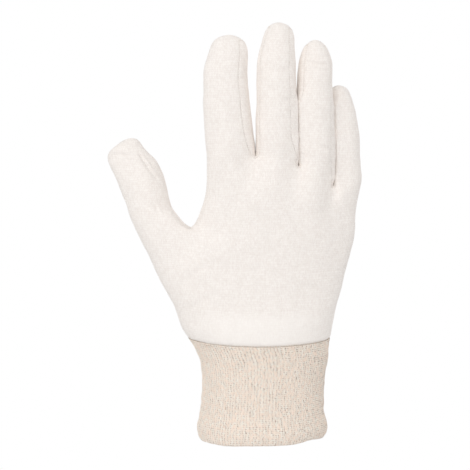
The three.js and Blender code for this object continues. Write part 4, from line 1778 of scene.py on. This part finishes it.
@dataclass
class KnitWrist:
    """The knit wrist: a rib-knit band folded double, with its fold at the lower edge.

    Lengths are in mm. The band flares out under the hem, a little more at its sides. The hem lies wider than
    the band by hem_overlap, so both rise alike.
    """

    form: GloveForm
    wall: float = 2.4
    rib: float = 1.5
    rib_rise: float = 0.28
    inside_rise: float = 0.5
    steps_per_rib: int = 6
    row: float = 1.0
    fold_rows: int = 8
    inside_row: float = 3.0
    unevenness: float = 0.16
    uneven_size: float = 5.0
    flare: float = 0.5
    side_flare: float = 0.3
    flare_reach: float = 2.5
    lift_height: float = 16.0
    hem_overlap: float = 1.05

    def _profile(self) -> list[tuple[float, float, float]]:
        """Walks round the band's section from the top of the outside.

        Returns:
            For each row its height and how far in from the outer face it lies, in mm, and the share of the
            ribs' rise.
        """
        length, radius = self.form.cuff_length, self.wall / 2
        outside = [(z, 0.0, 1.0) for z in np.linspace(length, radius, int(length / self.row))]
        fold = []
        for k in range(1, self.fold_rows):
            turned = k / self.fold_rows
            down, inward = radius * math.sin(math.pi * turned), radius * math.cos(math.pi * turned)
            fold.append((radius - down, radius - inward, 1 - turned))
        inner_rows = int(length / self.inside_row)
        inside = [(z, self.wall, self.inside_rise) for z in np.linspace(radius, length, inner_rows)]
        return [*outside, *fold, *inside]

    def _fold_lift(self, angle: np.ndarray) -> np.ndarray:
        """Works out how much higher than level the folded edge hangs.

        Args:
            angle: the angles round the band.

        Returns:
            The lift at each angle, in mm.
        """
        total = np.zeros_like(angle)
        for place in FOLD_LIFTS:
            away = np.angle(np.exp(1j * (angle - math.radians(place.at))))
            total += place.lift * np.exp(-((away / math.radians(place.reach)) ** 2))
        return total

    def _lay_rows(self, ribs: int, angle: np.ndarray) -> tuple[list[np.ndarray], list[np.ndarray]]:
        """Lays out the band's rows, one ring of points after another.

        Args:
            ribs: how many ribs the band has.
            angle: the angle of each point of a ring.

        Returns:
            The points of each row, and where they lie on the flat knit, in mm.
        """
        form, profile = self.form, self._profile()
        heights = np.array([row[0] for row in profile]) / form.cuff_length
        knots = [s.up for s in CUFF_SECTIONS]
        aside = smooth_through(heights, knots, [s.aside for s in CUFF_SECTIONS]) * form.cuff_width
        wide = smooth_through(heights, knots, [s.wide for s in CUFF_SECTIONS]) * form.cuff_width / 2
        deep = smooth_through(heights, knots, [s.deep for s in CUFF_SECTIONS]) * form.cuff_depth / 2
        across, over = np.cos(angle), np.sin(angle)
        round_it = angle / (2 * math.pi) * ribs * self.rib
        between_ribs = 1 - np.sqrt(np.abs(np.sin(angle * ribs / 2)))
        lift = self._fold_lift(angle)
        rows, places, run = [], [], 0.0
        for k, (z, inset, rise) in enumerate(profile):
            if k:
                run += math.dist(profile[k - 1][:2], (z, inset))
            ring = np.stack([across * wide[k], over * deep[k], np.full(len(angle), z)], axis=1)
            below_hem = form.cuff_length - z
            under_hem = max(0, 1 - below_hem / self.flare_reach)
            flare = self.flare * under_hem * (1 + self.side_flare * across**2)
            groove = self.rib_rise * rise * between_ribs
            uneven = self.unevenness * soft_noise(ring, self.uneven_size, Relief.BAND)
            out = uneven - inset - groove + flare
            x, y = aside[k] + across * (wide[k] + out), over * (deep[k] + out)
            near_fold = max(0, 1 - z / self.lift_height)
            near_hem = max(0, 1 - below_hem / HEM_RISE_REACH)
            height = z + lift * near_fold**2 + hem_rise(self.hem_overlap * x) * near_hem**2
            rows.append(np.stack([x, y, height], axis=1))
            places.append(np.stack([round_it, np.full(len(angle), run)], axis=1))
        return rows, places

    def build(self, material: bpy.types.Material) -> bpy.types.Object:
        """Makes the knit wrist and puts it in place of its node.

        Args:
            material: the knit.

        Returns:
            The object.
        """
        a, b = self.form.cuff_width / 2, self.form.cuff_depth / 2
        girth = math.pi * (3 * (a + b) - math.sqrt((3 * a + b) * (a + 3 * b)))
        ribs = 2 * round(girth / self.rib / 2)
        columns = ribs * self.steps_per_rib
        rows, places = self._lay_rows(ribs, 2 * math.pi * np.arange(columns) / columns)
        grid = np.arange(len(rows) * columns).reshape(len(rows), columns)
        next_row = np.roll(grid, -1, axis=0)
        corners = [grid, next_row, np.roll(next_row, -1, axis=1), np.roll(grid, -1, axis=1)]
        quads = np.stack(corners, axis=-1).reshape(-1, 4)
        piece = make_piece("rib_knit_wrist", np.concatenate(rows), [quads], np.concatenate(places), material)
        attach(piece, "root")
        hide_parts("knit_wrist")
        LOG.info("%s: %d faces, %d ribs", piece.name, len(piece.data.polygons), ribs)
        return piece


@dataclass
class Studio:
    """A white sweep, three soft lights and the camera. Sizes are in metres, but the sensor's is in mm."""

    target: tuple[float, float, float] = (-0.0162, 0.0, 0.1232)
    distance: float = 0.7
    elevation: float = 5.0
    frame_width: float = 0.282
    sensor_width: float = 36.0
    nearest: float = 0.01
    farthest: float = 50.0
    sweep_radius: float = 4.0
    sweep_steps: int = 64
    sweep_rings: int = 32
    floor_height: float = -0.09
    ambient: float = 0.74

    def _sweep(self) -> None:
        """Makes the floor and backdrop as one round sheet. Only the camera sees it, so it lights nothing."""
        steps, rings = self.sweep_steps, self.sweep_rings
        points = []
        for r in range(rings + 1):
            tilt = math.pi * r / rings
            for s in range(steps):
                turn = 2 * math.pi * s / steps
                z = -math.cos(tilt) * self.sweep_radius
                flat = math.sin(tilt) * self.sweep_radius
                points.append((flat * math.cos(turn), flat * math.sin(turn), max(z, self.floor_height)))
        faces = []
        for low in range(0, rings * steps, steps):
            for s in range(steps):
                t = (s + 1) % steps
                faces.append((low + s, low + t, low + steps + t, low + steps + s))
        mesh = bpy.data.meshes.new("studio_sweep")
        mesh.from_pydata(points, [], faces)
        mesh.validate()
        mesh.materials.append(StudioWhite().material())
        sweep = bpy.data.objects.new("studio_sweep", mesh)
        bpy.context.scene.collection.objects.link(sweep)
        for ray in ("diffuse", "glossy", "transmission", "shadow"):
            setattr(sweep, f"visible_{ray}", False)

    def _add_light(self, soft: SoftLight) -> None:
        """Adds a square soft light that looks at the glove.

        Args:
            soft: the light.
        """
        data = bpy.data.lights.new(soft.name, "AREA")
        data.size = soft.size
        data.energy = soft.power
        light = bpy.data.objects.new(soft.name, data)
        light.location = soft.place
        towards = Vector(self.target) - Vector(soft.place)
        light.rotation_euler = towards.to_track_quat("-Z", "Y").to_euler()
        bpy.context.scene.collection.objects.link(light)

    def _add_air(self) -> None:
        """Adds the even white light that comes from all sides."""
        world = bpy.data.worlds.new("studio_air")
        bpy.context.scene.world = world
        world.use_nodes = True
        background = world.node_tree.nodes["Background"]
        background.inputs["Color"].default_value = (1, 1, 1, 1)
        background.inputs["Strength"].default_value = self.ambient

    def _add_camera(self) -> None:
        """Adds the camera at the photograph's viewing angle."""
        data = bpy.data.cameras.new("camera")
        data.sensor_width = self.sensor_width
        data.lens = data.sensor_width * self.distance / self.frame_width
        data.clip_start, data.clip_end = self.nearest, self.farthest
        camera = bpy.data.objects.new("camera", data)
        tilt = math.radians(self.elevation)
        away = Vector((0, -math.cos(tilt), math.sin(tilt)))
        camera.location = Vector(self.target) + away * self.distance
        camera.rotation_mode = "QUATERNION"
        camera.rotation_quaternion = (-away).to_track_quat("-Z", "Y")
        bpy.context.scene.collection.objects.link(camera)
        bpy.context.scene.camera = camera
        LOG.info("studio: camera %.0f mm away, lens %.1f mm", self.distance / MM, data.lens)

    def build(self) -> None:
        """Makes the sweep, the lights, the world and the camera."""
        self._sweep()
        for soft in LIGHTS:
            self._add_light(soft)
        self._add_air()
        self._add_camera()
        bpy.context.scene.view_settings.view_transform = "Standard"


def main() -> None:
    """Builds the glove and its studio."""
    logging.basicConfig(level=logging.INFO, format="%(message)s")
    form = GloveForm()
    seams, hem = GloveBody(form).build(InterlockCotton().material())
    KnitWrist(form).build(RibKnitCotton().material())
    bleached = SewingThread("sewing_thread_bleached", "#FAF5F0", "#E4DAD0").material()
    Stitches("thread_seams", Slot.CLOTH, SEAM_ROUTE, radius=0.12).build(seams, bleached)
    unbleached = SewingThread("sewing_thread_unbleached", "#F0E2D0", "#D6C3AA").material()
    Stitches("thread_hem", Slot.RIB, HEM_ROUTE, radius=0.15).build(hem, unbleached)
    Studio().build()
    bpy.context.view_layer.update()


if __name__ == "__main__":
    main()
